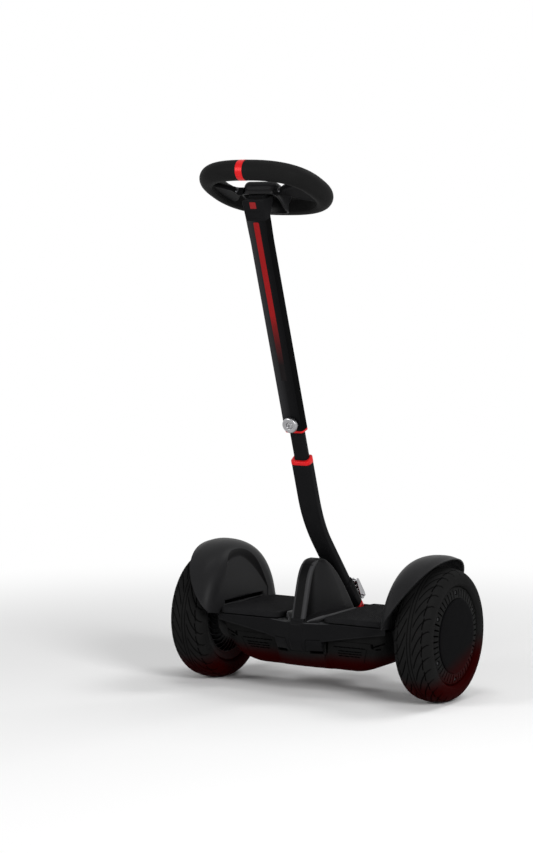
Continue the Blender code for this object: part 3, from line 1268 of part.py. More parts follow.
def rear_fittings(frame, colours):
    """The charging socket behind its flap, and a red lamp on either side."""
    face = DECK_FRONT
    port = turned("charge_socket", ring_profile(0.0030, PORT_RADIUS, -PORT_DEPTH, 0.0), SHAFT_STEPS)
    place(port, frame, (PORT_X, face - 0.0006, PORT_Z), (-math.pi / 2, 0, 0))
    dress(port, colours["matt"])
    hole = rod("charge_hole", PORT_RADIUS + GAP, (PORT_X, face - 0.020, PORT_Z),
               (PORT_X, face + 0.010, PORT_Z), SHAFT_STEPS)
    cover = bpy.data.objects["tail_cover"]
    cut(cover, cutter(hole, frame))
    hinge = empty("charge_flap_axis", frame,
                  (PORT_X, face + GAP + FLAP_THICKNESS / 2, PORT_Z + FLAP_HEIGHT / 2))
    outline = rounded(FLAP_WIDTH, FLAP_HEIGHT, 0.004)
    flap = loft("charge_flap", [[(x, y, z - FLAP_HEIGHT / 2) for x, z in outline]
                                for y in (FLAP_THICKNESS / 2, -FLAP_THICKNESS / 2)])
    dress(place(flap, hinge), colours["mat"])
    for side, label in SIDES:
        outline = rounded(LAMP_WIDTH, LAMP_HEIGHT, 0.003)
        lamp = loft(f"{label}_tail_lamp", [[(x + side * LAMP_X, y, z + LAMP_Z) for x, z in outline]
                                           for y in (face + GAP + LAMP_THICKNESS, face + GAP)])
        dress(place(lamp, frame), colours["light"])


# Assembly

def centre_on_floor(root):
    """Moves the assembly along Y so that the origin is the middle of its box."""
    bpy.context.view_layer.update()
    graph = bpy.context.evaluated_depsgraph_get()
    ys = []
    for item in parts.objects:
        if item.type != "MESH":
            continue
        shown = item.evaluated_get(graph)
        mesh = shown.to_mesh()
        world = item.matrix_world
        ys += [(world @ v.co).y for v in mesh.vertices]
        shown.to_mesh_clear()
    root.location.y = -(min(ys) + max(ys)) / 2


def main():
    """Builds every piece and centres the whole."""
    clear_scene()
    colours = palette()
    root = empty("scooter_frame")
    for side, label in SIDES:
        wheel(side, label, root, colours)
    deck_cover(root, colours)
    tail_cover(root, colours)
    lower_tray(root, colours)
    main_frame(root, colours)
    foot_mats(root, colours)
    fenders(root, colours)
    hump(root, colours)
    front_band(root, colours)
    inner_parts(root, colours)
    rear_fittings(root, colours)
    leg = empty("column_leg", root, (0, *leg_point(0.0)), (math.radians(LEG_LEAN), 0, 0))
    top = empty("column_top", root, (0, *column_point(0.0)), (math.radians(COLUMN_LEAN), 0, 0))
    end_y, end_z = column_point(NECK_TOP)
    steer = empty("steering_plane", root, (0, end_y + RING_BACK, end_z + RING_ABOVE),
                  (-math.radians(RING_TILT), 0, 0))
    column_base(root, leg, colours)
    lower_column(root, leg, top, colours)
    clamp(leg, colours)
    upper_column(top, colours)
    steering(steer, colours)
    centre_on_floor(root)
    bpy.context.view_layer.update()


main()
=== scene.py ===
"""Self-balancing scooter, dressed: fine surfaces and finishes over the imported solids.

Metres, +Z up. It drives towards -Y. A wheel's turn is measured from its front up over its top.
The leg, the column and the steering ring each have a frame that leans about X.
"""

import json
import math

import bmesh
import bpy
import numpy as np
from mathutils import Matrix, Vector


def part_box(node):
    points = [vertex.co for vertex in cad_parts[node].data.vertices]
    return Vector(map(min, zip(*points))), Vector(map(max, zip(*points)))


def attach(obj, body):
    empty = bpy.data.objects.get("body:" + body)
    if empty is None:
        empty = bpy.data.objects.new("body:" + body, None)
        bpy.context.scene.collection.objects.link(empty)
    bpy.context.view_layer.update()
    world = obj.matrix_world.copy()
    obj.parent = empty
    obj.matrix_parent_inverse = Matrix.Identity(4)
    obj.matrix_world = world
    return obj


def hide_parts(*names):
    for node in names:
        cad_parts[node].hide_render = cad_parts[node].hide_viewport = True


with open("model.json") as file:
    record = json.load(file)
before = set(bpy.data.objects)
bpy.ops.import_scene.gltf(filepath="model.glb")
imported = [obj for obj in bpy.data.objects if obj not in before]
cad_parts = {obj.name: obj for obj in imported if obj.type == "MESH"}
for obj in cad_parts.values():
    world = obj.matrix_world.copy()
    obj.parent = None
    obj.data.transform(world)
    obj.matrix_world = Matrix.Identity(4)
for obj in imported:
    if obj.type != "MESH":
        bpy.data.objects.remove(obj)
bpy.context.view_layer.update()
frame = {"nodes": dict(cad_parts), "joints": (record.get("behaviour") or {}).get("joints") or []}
MM = 0.001

# Places taken from the frame

JOINTS = {joint["name"]: joint for joint in frame["joints"]}
TRACK_HALF, AXLE_Y, WHEEL_RADIUS = JOINTS["left_wheel_roll"]["pos_m"]
DECK_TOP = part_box("deck_cover")[1].z
DECK_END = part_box("deck_cover")[1].x
TAIL_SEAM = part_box("tail_cover")[0].y - AXLE_Y
TRAY_LOW, TRAY_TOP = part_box("lower_tray")[0].z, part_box("lower_tray")[1].z
MAT_LOW, MAT_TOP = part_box("left_foot_mat")[0].z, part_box("left_foot_mat")[1].z
MAT_INNER, MAT_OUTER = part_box("left_foot_mat")[0].x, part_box("left_foot_mat")[1].x
MAT_HALF_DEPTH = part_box("left_foot_mat")[1].y - AXLE_Y
HUMP_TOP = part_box("hump_cover")[1].z
LEG_LEAN, COLUMN_LEAN, RING_LEAN = 41.0, 19.0, -21.3


def placed(points, origin, lean=0.0):
    """Leans points [..., 3] about X by an angle in degrees and moves them to an origin."""
    turn = math.radians(lean)
    x, y, z = np.moveaxis(np.asarray(points, float), -1, 0)
    leaned = np.stack([x, y * math.cos(turn) - z * math.sin(turn),
                       y * math.sin(turn) + z * math.cos(turn)], -1)
    return leaned + np.asarray(origin, float)


LEVER_PIN = np.array((0.0, 0.0352, 0.0010))             # in the leg's frame
KNOB_SEAT = np.array((0.0, -0.0145, 0.0194))            # in the column's frame
LEG = np.array(JOINTS["lever_release"]["pos_m"]) - placed(LEVER_PIN, 0, LEG_LEAN)
COLUMN = np.array(JOINTS["knob_turn"]["pos_m"]) - placed(KNOB_SEAT, 0, COLUMN_LEAN)
RING = np.array((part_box("steering_ring")[0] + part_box("steering_ring")[1]) / 2)


# Shapes: arrays of points and of quads

def ease(value):
    """A curve from 0 to 1 that is level at both ends."""
    t = np.clip(value, 0.0, 1.0)
    return t * t * (3 - 2 * t)


def within(value, half, edge=0.6 * MM):
    """1 inside a half width, falling to 0 over an edge."""
    return 1 - ease((np.abs(value) - half) / edge)


def even(line, count):
    """A line of points [n, 2 or 3] stepped again at even lengths."""
    steps = np.linalg.norm(np.diff(line, axis=0), axis=1)
    along = np.concatenate([[0.0], np.cumsum(steps)])
    wanted = np.linspace(0, along[-1], count)
    return np.stack([np.interp(wanted, along, column) for column in line.T], -1)


def eased(corners, radius, steps=4, closed=True):
    """Rounds each corner of a polyline: a quadratic curve from one side to the next."""
    here = np.asarray(corners, float)
    before, after = np.roll(here, 1, 0), np.roll(here, -1, 0)
    radius = np.broadcast_to(np.asarray(radius, float), len(here))[:, None]

    def side(other):
        away = other - here
        length = np.linalg.norm(away, axis=1, keepdims=True)
        return here + away * np.minimum(radius / np.maximum(length, 1e-9), 0.48)

    t = np.linspace(0, 1, steps + 1)[None, :, None]
    start, end = side(before)[:, None], side(after)[:, None]
    curve = (1 - t) ** 2 * start + 2 * t * (1 - t) * here[:, None] + t ** 2 * end
    if closed:
        return curve.reshape(-1, here.shape[1])
    inner = curve[1:-1].reshape(-1, here.shape[1])
    return np.concatenate([here[:1], inner, here[-1:]])


def rounded(width, depth, radius, count=72):
    """A rounded rectangle about the origin as points [count, 2], anticlockwise from its right side."""
    quarter = np.radians(np.linspace(0, 90, 13))
    outline = [(width / 2, 0.0)]
    for k, (sx, sy) in enumerate(((1, 1), (-1, 1), (-1, -1), (1, -1))):
        angle = quarter + k * math.pi / 2
        outline += list(zip(sx * (width / 2 - radius) + radius * np.cos(angle),
                            sy * (depth / 2 - radius) + radius * np.sin(angle)))
    outline.append((width / 2, 0.0))
    return even(np.array(outline), count + 1)[:-1]


def level(outline, height, dx=0.0, dy=0.0):
    """A flat outline [n, 2] as a ring of points at one height."""
    return np.column_stack([outline[:, 0] + dx, outline[:, 1] + dy,
                            np.broadcast_to(height, len(outline))])


def skin(points, around=False, along=False):
    """Quads over a grid of points [rows, columns, 3], closed across its columns or its rows."""
    rows, columns = points.shape[:2]
    index = np.arange(rows * columns).reshape(rows, columns)
    if along:
        index = np.vstack([index, index[:1]])
    if around:
        index = np.hstack([index, index[:, :1]])
    quads = np.stack([index[:-1, :-1], index[:-1, 1:], index[1:, 1:], index[1:, :-1]], -1)
    return points.reshape(-1, 3), quads.reshape(-1, 4)


def capped(rings):
    """A closed skin over rings [rows, columns, 3], whose ends gather at their own middles."""
    rings = np.asarray(rings, float)
    ends = [np.repeat(ring.mean(0, keepdims=True), len(ring), 0)[None] for ring in (rings[0], rings[-1])]
    return skin(np.concatenate([ends[0], rings, ends[1]]), around=True)


def normals(points, inside):
    """Unit normals of a grid [rows, columns, 3], turned away from a point inside it."""
    across = np.cross(np.gradient(points, axis=0), np.gradient(points, axis=1))
    across /= np.maximum(np.linalg.norm(across, axis=-1, keepdims=True), 1e-12)
    if np.mean(np.sum(across * (points - np.asarray(inside)), -1)) < 0:
        across = -across
    return across


def open_edges(quads, count):
    """The edges that only one of the quads has, from point to point, over a number of points."""
    edges = np.concatenate([quads[:, [k, (k + 1) % 4]] for k in range(4)])
    single = ~np.isin(edges[:, 0] * count + edges[:, 1], edges[:, 1] * count + edges[:, 0])
    return edges[single]


def wall_between(rim, count):
    """Upright quads from edges of one surface to the same edges of a second, count points later."""
    return np.stack([rim[:, 1], rim[:, 0], rim[:, 0] + count, rim[:, 1] + count], 1)


def shell(points, thickness, inside, keep=None):
    """A wall under a grid: the grid, a second one set in along its normals, and the rim between.

    keep is true for the quads that stay, so that a wall can have an opening."""
    outer, quads = skin(points)
    if keep is not None:
        quads = quads[keep.ravel()]
    inner = (points - normals(points, inside) * thickness).reshape(-1, 3)
    count = len(outer)
    sides = wall_between(open_edges(quads, count), count)
    return np.concatenate([outer, inner]), np.concatenate([quads, quads[:, ::-1] + count, sides])


def slab(width, depth, radius, low, high, edge, count=72):
    """An upright block on a rounded rectangle, with rounded edges above and below."""
    rings = []
    for height, sign in ((low, 1), (high, -1)):
        turns = np.radians(np.linspace(90, 0, 5) if sign > 0 else np.linspace(0, 90, 5))
        for turn in turns:
            inset = edge * (1 - math.cos(turn))
            outline = rounded(width - 2 * inset, depth - 2 * inset, max(radius - inset, edge / 4), count)
            rings.append(level(outline, height + sign * edge * (1 - math.sin(turn))))
    return capped(rings)


def sleeve(outer, inner, low, high, edge, shift=0.0, slant=0.0, count=72):
    """A ring between two rounded rectangles with rounded outer edges; its top may slant forward."""
    rings = []
    for inset, lift in ((edge, 0), (0.3 * edge, 0.3 * edge), (0, edge)):
        rings.append(level(rounded(outer[0] - 2 * inset, outer[1] - 2 * inset, outer[2], count), low + lift))
    for inset, lift in ((0, edge), (0.3 * edge, 0.3 * edge), (edge, 0)):
        outline = rounded(outer[0] - 2 * inset, outer[1] - 2 * inset, outer[2], count)
        rings.append(level(outline, high - lift - slant * (0.5 - outline[:, 1] / outer[1])))
    bore = rounded(*inner, count)
    rings.append(level(bore, high - slant * (0.5 - bore[:, 1] / outer[1]), 0, shift))
    rings.append(level(bore, low, 0, shift))
    return skin(np.array(rings), around=True, along=True)


def turned(profile, steps, origin, axis):
    """A closed profile [n, 2] of (radius, height) turned about an axis through an origin."""
    angle = circle(steps)
    radius, height = np.asarray(profile, float).T
    local = np.stack([radius[:, None] * np.cos(angle), radius[:, None] * np.sin(angle),
                      np.repeat(height[:, None], steps, 1)], -1)
    turn = np.array(Vector(axis).to_track_quat("Z", "Y").to_matrix())
    return skin(local @ turn.T + np.asarray(origin, float), around=True, along=bool(radius[0] > 1e-6))


def mm(values):
    """Millimetres as metres."""
    return np.array(values) * MM


def circle(count):
    """Angles all round, evenly spaced."""
    return np.linspace(0, 2 * math.pi, count, endpoint=False)


def moved(shape, origin, lean=0.0):
    """A shape placed in a leaning frame."""
    return placed(shape[0], origin, lean), shape[1]


def piece(name, shapes, finish, body, replaces=(), sharp=35, recess=None):
    """Makes one mesh piece of shapes: its points are welded, its faces turned out, and it rides on a body.

    The mark given last is 0 on a point that lies open, 1 at the bottom of a cut, darkened as painted shade,
    or on a dark joint, and -1 on an edge with a painted highlight."""
    counts = [len(shape[0]) for shape in shapes]
    starts = np.cumsum([0] + counts[:-1])
    points = np.concatenate([shape[0] for shape in shapes])
    quads = np.concatenate([shape[1] + start for shape, start in zip(shapes, starts)])
    mesh = bpy.data.meshes.new(name)
    mesh.vertices.add(len(points))
    mesh.vertices.foreach_set("co", points.ravel())
    mesh.loops.add(quads.size)
    mesh.loops.foreach_set("vertex_index", quads.ravel())
    mesh.polygons.add(len(quads))
    mesh.polygons.foreach_set("loop_start", np.arange(len(quads)) * 4)
    mesh.update(calc_edges=True)
    if recess is not None:
        depth = np.zeros(len(points))
        depth[:np.size(recess)] = np.ravel(recess)
        mesh.attributes.new("recess", "FLOAT", "POINT").data.foreach_set("value", depth)
    work = bmesh.new()
    work.from_mesh(mesh)
    bmesh.ops.remove_doubles(work, verts=work.verts, dist=0.002 * MM)
    bmesh.ops.delete(work, geom=[v for v in work.verts if not v.link_faces], context="VERTS")
    bmesh.ops.recalc_face_normals(work, faces=work.faces)
    work.to_mesh(mesh)
    work.free()
    mesh.shade_smooth()
    mesh.set_sharp_from_angle(angle=math.radians(sharp))
    mesh.materials.append(finish)
    item = bpy.data.objects.new(name, mesh)
    bpy.context.scene.collection.objects.link(item)
    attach(item, body)
    if replaces:
        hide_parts(*replaces)
    return item


# Materials

def linear(code):
    """An sRGB hex colour as linear red, green, blue and alpha."""
    channels = [int(code[k:k + 2], 16) / 255 for k in (0, 2, 4)]
    return (*[c / 12.92 if c <= 0.04045 else ((c + 0.055) / 1.055) ** 2.4 for c in channels], 1.0)


def principled(name):
    """A new material, its tree and its shader."""
    material = bpy.data.materials.new(name)
    material.use_nodes = True
    tree = material.node_tree
    return material, tree, tree.nodes["Principled BSDF"]


def add(tree, kind, inputs=None, **settings):
    """Adds a node with its settings, and sets or links its inputs."""
    node = tree.nodes.new(kind)
    for key, value in settings.items():
        setattr(node, key, value)
    for socket, value in (inputs or {}).items():
        if isinstance(value, bpy.types.NodeSocket):
            tree.links.new(value, node.inputs[socket])
        else:
            node.inputs[socket].default_value = value
    return node


PIT_BLACK = "020202"            # the black that painted shade darkens the bottom of a cut towards, and that dark joints take
HIGHLIGHT_GREY = "606062"             # the pale grey that a painted highlight on an edge comes near
GLOW_RED = "220000"             # the tint of the red light from under the body
PATCH_SCALE = 45.0              # patches of colour, per metre
NOISE_LOW, NOISE_HIGH = 0.3, 0.7    # the span that nearly all noise lies in
FACTOR, FIRST, SECOND, MIXED = 0, 6, 7, 2       # a Mix node's colour sockets, by number


def surface(name, colour, roughness, metallic=0.0, specular=0.5, grain=0.8, bump=0.02, mottle=0.10,
            glow=None, spread=0.05):
    """A moulded, cast or coated finish.

    grain is the size of its surface texture in mm and bump its height in mm. mottle is how much
    its colour varies over a few centimetres, and spread how much its roughness does. A point marked
    above 0 is darker and duller, as painted shade in a cut or as a dark joint, and a point marked
    below 0 is paler, as a painted highlight on an edge. glow gives the heights in metres where
    the red light from under the body begins to tint it and where the tint is full."""
    material, tree, shader = principled(name)
    place = add(tree, "ShaderNodeTexCoord").outputs["Object"]
    patches = add(tree, "ShaderNodeTexNoise", {"Vector": place, "Scale": PATCH_SCALE, "Detail": 4.0})
    value = add(tree, "ShaderNodeMapRange", {
        "Value": patches.outputs["Fac"], "From Min": NOISE_LOW, "From Max": NOISE_HIGH,
        "To Min": 1 - mottle, "To Max": 1 + mottle})
    base = add(tree, "ShaderNodeVectorMath", {0: linear(colour)[:3], "Scale": value.outputs["Result"]},
               operation="SCALE").outputs["Vector"]
    if glow:
        base = lit_from_below(tree, place, base, *glow)
    # Painted shade darkens cuts and joints towards black, and painted highlights pale edges towards grey
    cut = add(tree, "ShaderNodeAttribute", attribute_name="recess").outputs["Fac"]
    dark = add(tree, "ShaderNodeMix", {FACTOR: cut, FIRST: base, SECOND: linear(PIT_BLACK)}, data_type="RGBA")
    painted_highlight = add(tree, "ShaderNodeMath", {0: cut, 1: -1.0}, operation="MULTIPLY", use_clamp=True)
    shade = add(tree, "ShaderNodeMix", {FACTOR: painted_highlight.outputs["Value"], FIRST: dark.outputs[MIXED],
                                        SECOND: linear(HIGHLIGHT_GREY)}, data_type="RGBA")
    tree.links.new(shade.outputs[MIXED], shader.inputs["Base Color"])
    fine = add(tree, "ShaderNodeTexNoise", {"Vector": place, "Scale": 1000 / grain, "Detail": 3.0})
    rough = add(tree, "ShaderNodeMapRange", {
        "Value": fine.outputs["Fac"], "From Min": NOISE_LOW, "From Max": NOISE_HIGH,
        "To Min": roughness - spread, "To Max": roughness + spread})
    tree.links.new(rough.outputs["Result"], shader.inputs["Roughness"])
    lift = add(tree, "ShaderNodeBump", {"Height": fine.outputs["Fac"], "Distance": bump * MM,
                                        "Strength": 1.0})
    tree.links.new(lift.outputs["Normal"], shader.inputs["Normal"])
    shader.inputs["Metallic"].default_value = metallic
    shader.inputs["Specular IOR Level"].default_value = specular
    # Painted shade also dulls the shine in cuts, and painted highlights raise it on edges
    sheen = add(tree, "ShaderNodeMath", {0: cut, 1: -specular, 2: specular}, operation="MULTIPLY_ADD",
                use_clamp=True)
    tree.links.new(sheen.outputs["Value"], shader.inputs["Specular IOR Level"])
    return material


def lit_from_below(tree, place, base, high, low):
    """Tints a colour red below a height, a little higher up towards the rear."""
    split = add(tree, "ShaderNodeSeparateXYZ", {"Vector": place})
    slope = add(tree, "ShaderNodeMath", {0: split.outputs["Y"], 1: -GLOW_SLOPE, 2: split.outputs["Z"]},
                operation="MULTIPLY_ADD")
    share = add(tree, "ShaderNodeMapRange", {"Value": slope.outputs["Value"], "From Min": high,
                                             "From Max": low}, interpolation_type="SMOOTHSTEP")
    mix = add(tree, "ShaderNodeMix", {FACTOR: share.outputs["Result"], FIRST: base, SECOND: linear(GLOW_RED)},
              data_type="RGBA")
    return mix.outputs[MIXED]


GLOW_SLOPE = 0.30               # how fast the tint climbs towards the rear
WHEEL_GLOW, BODY_GLOW = (0.071, 0.024), (0.094, 0.060)      # heights where it begins and is full

# Vulcanised rubber, moulded: dull, with the fine pitting of the mould
tyre_rubber = surface("tyre_rubber", "191919", 0.58, specular=0.007, grain=0.9, bump=0.03, glow=WHEEL_GLOW)
# Thermoplastic rubber, moulded: dead matt
mat_rubber = surface("mat_rubber", "1a1a1b", 0.66, specular=0.012, grain=0.5, bump=0.03)
# ABS, injection moulded in a spark-eroded tool: satin, with a broad soft highlight
satin_shell = surface("satin_abs", "1c1c1d", 0.40, specular=0.05, grain=0.45, bump=0.012, mottle=0.05)
# The same ABS on the deck and the chin, rougher and coarser grained, and set darker in colour as painted
# shade
deck_abs_painted_shade = surface("deck_abs", "111112", 0.46, specular=0.03, grain=0.6, bump=0.016, mottle=0.05)
# Glass-filled polypropylene, moulded: dull and slightly mottled
matt_plastic = surface("matt_polypropylene", "151515", 0.58, specular=0.006, grain=0.7, bump=0.02,
                       glow=BODY_GLOW)
# Aluminium tube, powder coated: satin, with the faint orange peel of the coat
powder_coat = surface("black_powder_coat", "151516", 0.40, specular=0.010, grain=1.4, bump=0.02, mottle=0.05)
# Die-cast aluminium, painted black: fine cast grain under a satin paint
cast_alloy = surface("black_die_casting", "171717", 0.46, specular=0.014, grain=0.6, bump=0.02,
                     glow=WHEEL_GLOW)
# The same casting on the motor's inner side, a little greyer and shinier: the greyer colour is a painted
# sheen on the fins
fin_alloy_painted_sheen = surface("thinly_painted_die_casting", "1a1a1b", 0.44, specular=0.04, grain=0.6, bump=0.02,
                    glow=WHEEL_GLOW)
# The same paint above the reach of the light from below
cast_alloy_plain = surface("painted_die_casting", "0c0c0d", 0.44, specular=0.012, grain=0.6, bump=0.02)
# Polyurethane foam grip with a leather-like skin: soft, with a low broad sheen
soft_grip = surface("grip_polyurethane", "191919", 0.50, specular=0.012, grain=0.9, bump=0.04, mottle=0.05)
# ABS, moulded satin, on the hub, where the light from below reaches it
hub_satin = surface("hub_abs", "0b0b0c", 0.42, specular=0.005, grain=0.45, bump=0.012, glow=WHEEL_GLOW)
# Acetal slide inside the lever, moulded: black and slightly shiny
pit_satin = surface("black_acetal", "060607", 0.42, specular=0.08, grain=0.8, bump=0.01)
# Polycarbonate, dyed dark red
mark_red = surface("dark_red_polycarbonate", "7c1517", 0.38, specular=0.12, grain=0.6, bump=0.01)
# Steel screw heads, black oxide: dark, with worn bright edges
ground_dark = surface("black_oxide_steel", "39393b", 0.38, metallic=0.9, grain=0.5, bump=0.01)
# Aluminium, anodised red: clear strong colour over a metal glint
red_anodised = surface("red_anodised_aluminium", "c4161a", 0.34, metallic=0.10, specular=0.14, grain=0.4,
                       bump=0.008, mottle=0.04)
# Polycarbonate lens, dyed smoke grey: dark and glossy
smoked_lens = surface("smoked_polycarbonate", "030304", 0.16, specular=0.08, grain=2.0, bump=0.0,
                      mottle=0.0, spread=0.02)
# Magnesium alloy, cast and chromated: dark grey, with a coarse cast grain
cast_magnesium = surface("cast_magnesium", "1b1b1c", 0.60, metallic=0.5, grain=1.2, bump=0.04)
# Carbon steel, ground: bright grey with a fine satin
ground_steel = surface("ground_steel", "a6a6a8", 0.32, metallic=1.0, grain=0.5, bump=0.004)
# Sintered magnets, nickel plated
nickel_plate = surface("nickel_plate", "9c978d", 0.30, metallic=1.0, grain=1.0, bump=0.004)
# PVC shrink wrap over the cells, dark blue
shrink_wrap = surface("pvc_shrink_wrap", "1c2a44", 0.38, grain=3.0, bump=0.05)


def lathe_finish(name, colour, roughness, centre, axis, pitch):
    """Turned metal: fine rings about an axis, pitch apart in mm, drawn coarse enough to show."""
    material = surface(name, colour, roughness, metallic=1.0, grain=0.3, bump=0.003, mottle=0.03)
    tree = material.node_tree
    shader = tree.nodes["Principled BSDF"]
    place = add(tree, "ShaderNodeTexCoord").outputs["Object"]
    away = add(tree, "ShaderNodeVectorMath", {0: place, 1: tuple(centre)}, operation="SUBTRACT")
    off = add(tree, "ShaderNodeVectorMath", {0: away.outputs["Vector"], 1: tuple(axis)},
              operation="CROSS_PRODUCT")
    radius = add(tree, "ShaderNodeVectorMath", {0: off.outputs["Vector"]}, operation="LENGTH")
    wave = add(tree, "ShaderNodeMath", {0: radius.outputs["Value"], 1: 2 * math.pi * 1000 / pitch},
               operation="MULTIPLY")
    ring = add(tree, "ShaderNodeMath", {0: wave.outputs["Value"]}, operation="SINE")
    lift = add(tree, "ShaderNodeBump", {"Height": ring.outputs["Value"], "Distance": 0.01 * MM})
    tree.links.new(lift.outputs["Normal"], shader.inputs["Normal"])
    return material


def strip_finish(bottom, top):
    """A diffuser over red light: bright above, and fading out towards its lower end."""
    material, tree, shader = principled("red_light_diffuser")
    place = add(tree, "ShaderNodeTexCoord").outputs["Object"]
    height = add(tree, "ShaderNodeSeparateXYZ", {"Vector": place}).outputs["Z"]
    share = add(tree, "ShaderNodeMapRange", {"Value": height, "From Min": bottom, "From Max": top})
    ramp = add(tree, "ShaderNodeValToRGB", {"Fac": share.outputs["Result"]})
    stops = ramp.color_ramp.elements
    stops[0].position, stops[0].color = 0.10, linear("120f10")
    stops[1].position, stops[1].color = 0.42, linear("801214")
    for position, code in ((0.17, "2e1213"), (0.23, "3f1213"), (0.29, "521213"), (0.355, "661213")):
        stop = stops.new(position)
        stop.color = linear(code)
    tree.links.new(ramp.outputs["Color"], shader.inputs["Base Color"])
    tree.links.new(ramp.outputs["Color"], shader.inputs["Emission Color"])
    shader.inputs["Emission Strength"].default_value = 0.10
    shader.inputs["Roughness"].default_value = 0.35
    shader.inputs["Specular IOR Level"].default_value = 0.06
    return material


def wound_finish(name, colour):
    """Enamelled copper wire, wound in 1 mm turns that show as fine ridges."""
    material = surface(name, colour, 0.40, metallic=0.9, grain=1.0, bump=0.01)
    tree = material.node_tree
    place = add(tree, "ShaderNodeTexCoord").outputs["Object"]
    wire = add(tree, "ShaderNodeTexWave", {"Vector": place, "Scale": 160.0}, bands_direction="X")
    lift = add(tree, "ShaderNodeBump", {"Height": wire.outputs["Fac"], "Distance": 0.3 * MM})
    tree.links.new(lift.outputs["Normal"], tree.nodes["Principled BSDF"].inputs["Normal"])
    return material


wound_copper = wound_finish("wound_copper", "a05a2e")
knob_axis = JOINTS["knob_turn"]["axis"]
turned_aluminium = lathe_finish("turned_aluminium", "a4a4a6", 0.26, JOINTS["knob_turn"]["pos_m"],
                                knob_axis, 0.9)
# Aluminium, tumbled and clear anodised: bright grey, soft highlight
bright_aluminium = surface("bright_aluminium", "9c9c9e", 0.27, metallic=1.0, grain=0.6, bump=0.006,
                           mottle=0.04)
red_diffuser = strip_finish(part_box("light_strip")[0].z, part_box("light_strip")[1].z)


# Wheels

TYRE_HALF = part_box("left_tyre")[1].x - TRACK_HALF
TYRE_WIDEST = 104.0 * MM
TYRE_SQUARENESS = 2.6
TYRE_FOOT = (94.2 * MM, 30.4 * MM)
TREAD_PITCHES, SWEEP, SWEEP_POWER = 30, 22.0, 2.1      # SWEEP in degrees
TREAD_DEPTH, TREAD_GROOVE, TREAD_EDGE = 1.4 * MM, 1.1 * MM, 0.7 * MM
SHOULDER, CENTRE, CHAIN, CENTRE_LINE = 41.5 * MM, 6.5 * MM, 26.0 * MM, 3.4 * MM
NUBS, NUB_CIRCLE, NUB_RADIUS, NUB_RISE = 36, 106.0 * MM, 2.9 * MM, 1.4 * MM
NUB_FLAT = 1.2 * MM
PROTECTOR_AT, PROTECTOR_HALF, PROTECTOR_RISE = 99.5 * MM, 0.9 * MM, 0.4 * MM     # a rib on each sidewall
TYRE_COLUMNS, TYRE_ROWS = 660, 136


def on_wheel(side, radius, height, turn):
    """World points of a wheel from a radius, a height out from its centre plane and a turn."""
    x = side * (TRACK_HALF + height)
    y = AXLE_Y - radius * np.cos(turn)
    z = WHEEL_RADIUS + radius * np.sin(turn)
    return np.stack(np.broadcast_arrays(x, y, z), -1)


def tyre_outline():
    """Outer line of the tyre from its outer foot to its inner one, as (radius, height).

    The crown is a superellipse on the tyre's widest radius, and each sidewall a quarter ellipse."""
    power = 2 / TYRE_SQUARENESS
    turn = np.linspace(0.02, math.pi - 0.02, 400)
    crown = np.stack([TYRE_WIDEST + (WHEEL_RADIUS - TYRE_WIDEST) * np.sin(turn) ** power,
                      TYRE_HALF * np.sign(np.cos(turn)) * np.abs(np.cos(turn)) ** power], -1)
    drop = np.linspace(math.pi / 2, 0.05, 40)
    wall = np.stack([TYRE_WIDEST - (TYRE_WIDEST - TYRE_FOOT[0]) * np.sin(drop),
                     TYRE_FOOT[1] + (TYRE_HALF - TYRE_FOOT[1]) * np.cos(drop)], -1)
    return even(np.concatenate([wall, crown, wall[::-1] * (1, -1)]), TYRE_ROWS)


def tread_cut(across, turn):
    """How deep the tread is cut, 0 to 1, at a distance across from the crown's middle and a turn.

    On each half a sipe starts beside the centre nearly along the tread and swings out to the
    shoulder as a power curve. The two halves are each other's half turn. A chain of short lines
    runs round between centre and shoulder, and one fine line on each side of the centre."""
    pitch = 2 * math.pi / TREAD_PITCHES
    off = np.abs(across)
    turn = np.where(across > 0, turn, -turn)
    span = SHOULDER - CENTRE
    share = np.clip((SHOULDER - off) / span, 0, 1)
    sweep = math.radians(SWEEP)
    phase = (turn + sweep * share ** SWEEP_POWER + pitch / 2) % pitch - pitch / 2
    slope = WHEEL_RADIUS * sweep * SWEEP_POWER * share ** (SWEEP_POWER - 1) / span
    away = np.abs(phase) * WHEEL_RADIUS / np.sqrt(1 + slope ** 2)
    reach = ease((off - CENTRE) / (1.2 * MM)) * ease((SHOULDER + 1 * MM - off) / (1.5 * MM))
    sipe = reach * within(away, TREAD_GROOVE / 2, TREAD_EDGE)
    link = (turn / pitch) % 1.0
    chain = within(off - CHAIN - 2.4 * MM * (link - 0.5), TREAD_GROOVE / 2, TREAD_EDGE)
    chain = chain * ease((link - 0.06) / 0.05) * ease((0.96 - link) / 0.05)
    centre = 0.8 * within(off - CENTRE_LINE, TREAD_GROOVE / 2, TREAD_EDGE)
    return np.maximum(np.maximum(sipe, chain), centre)


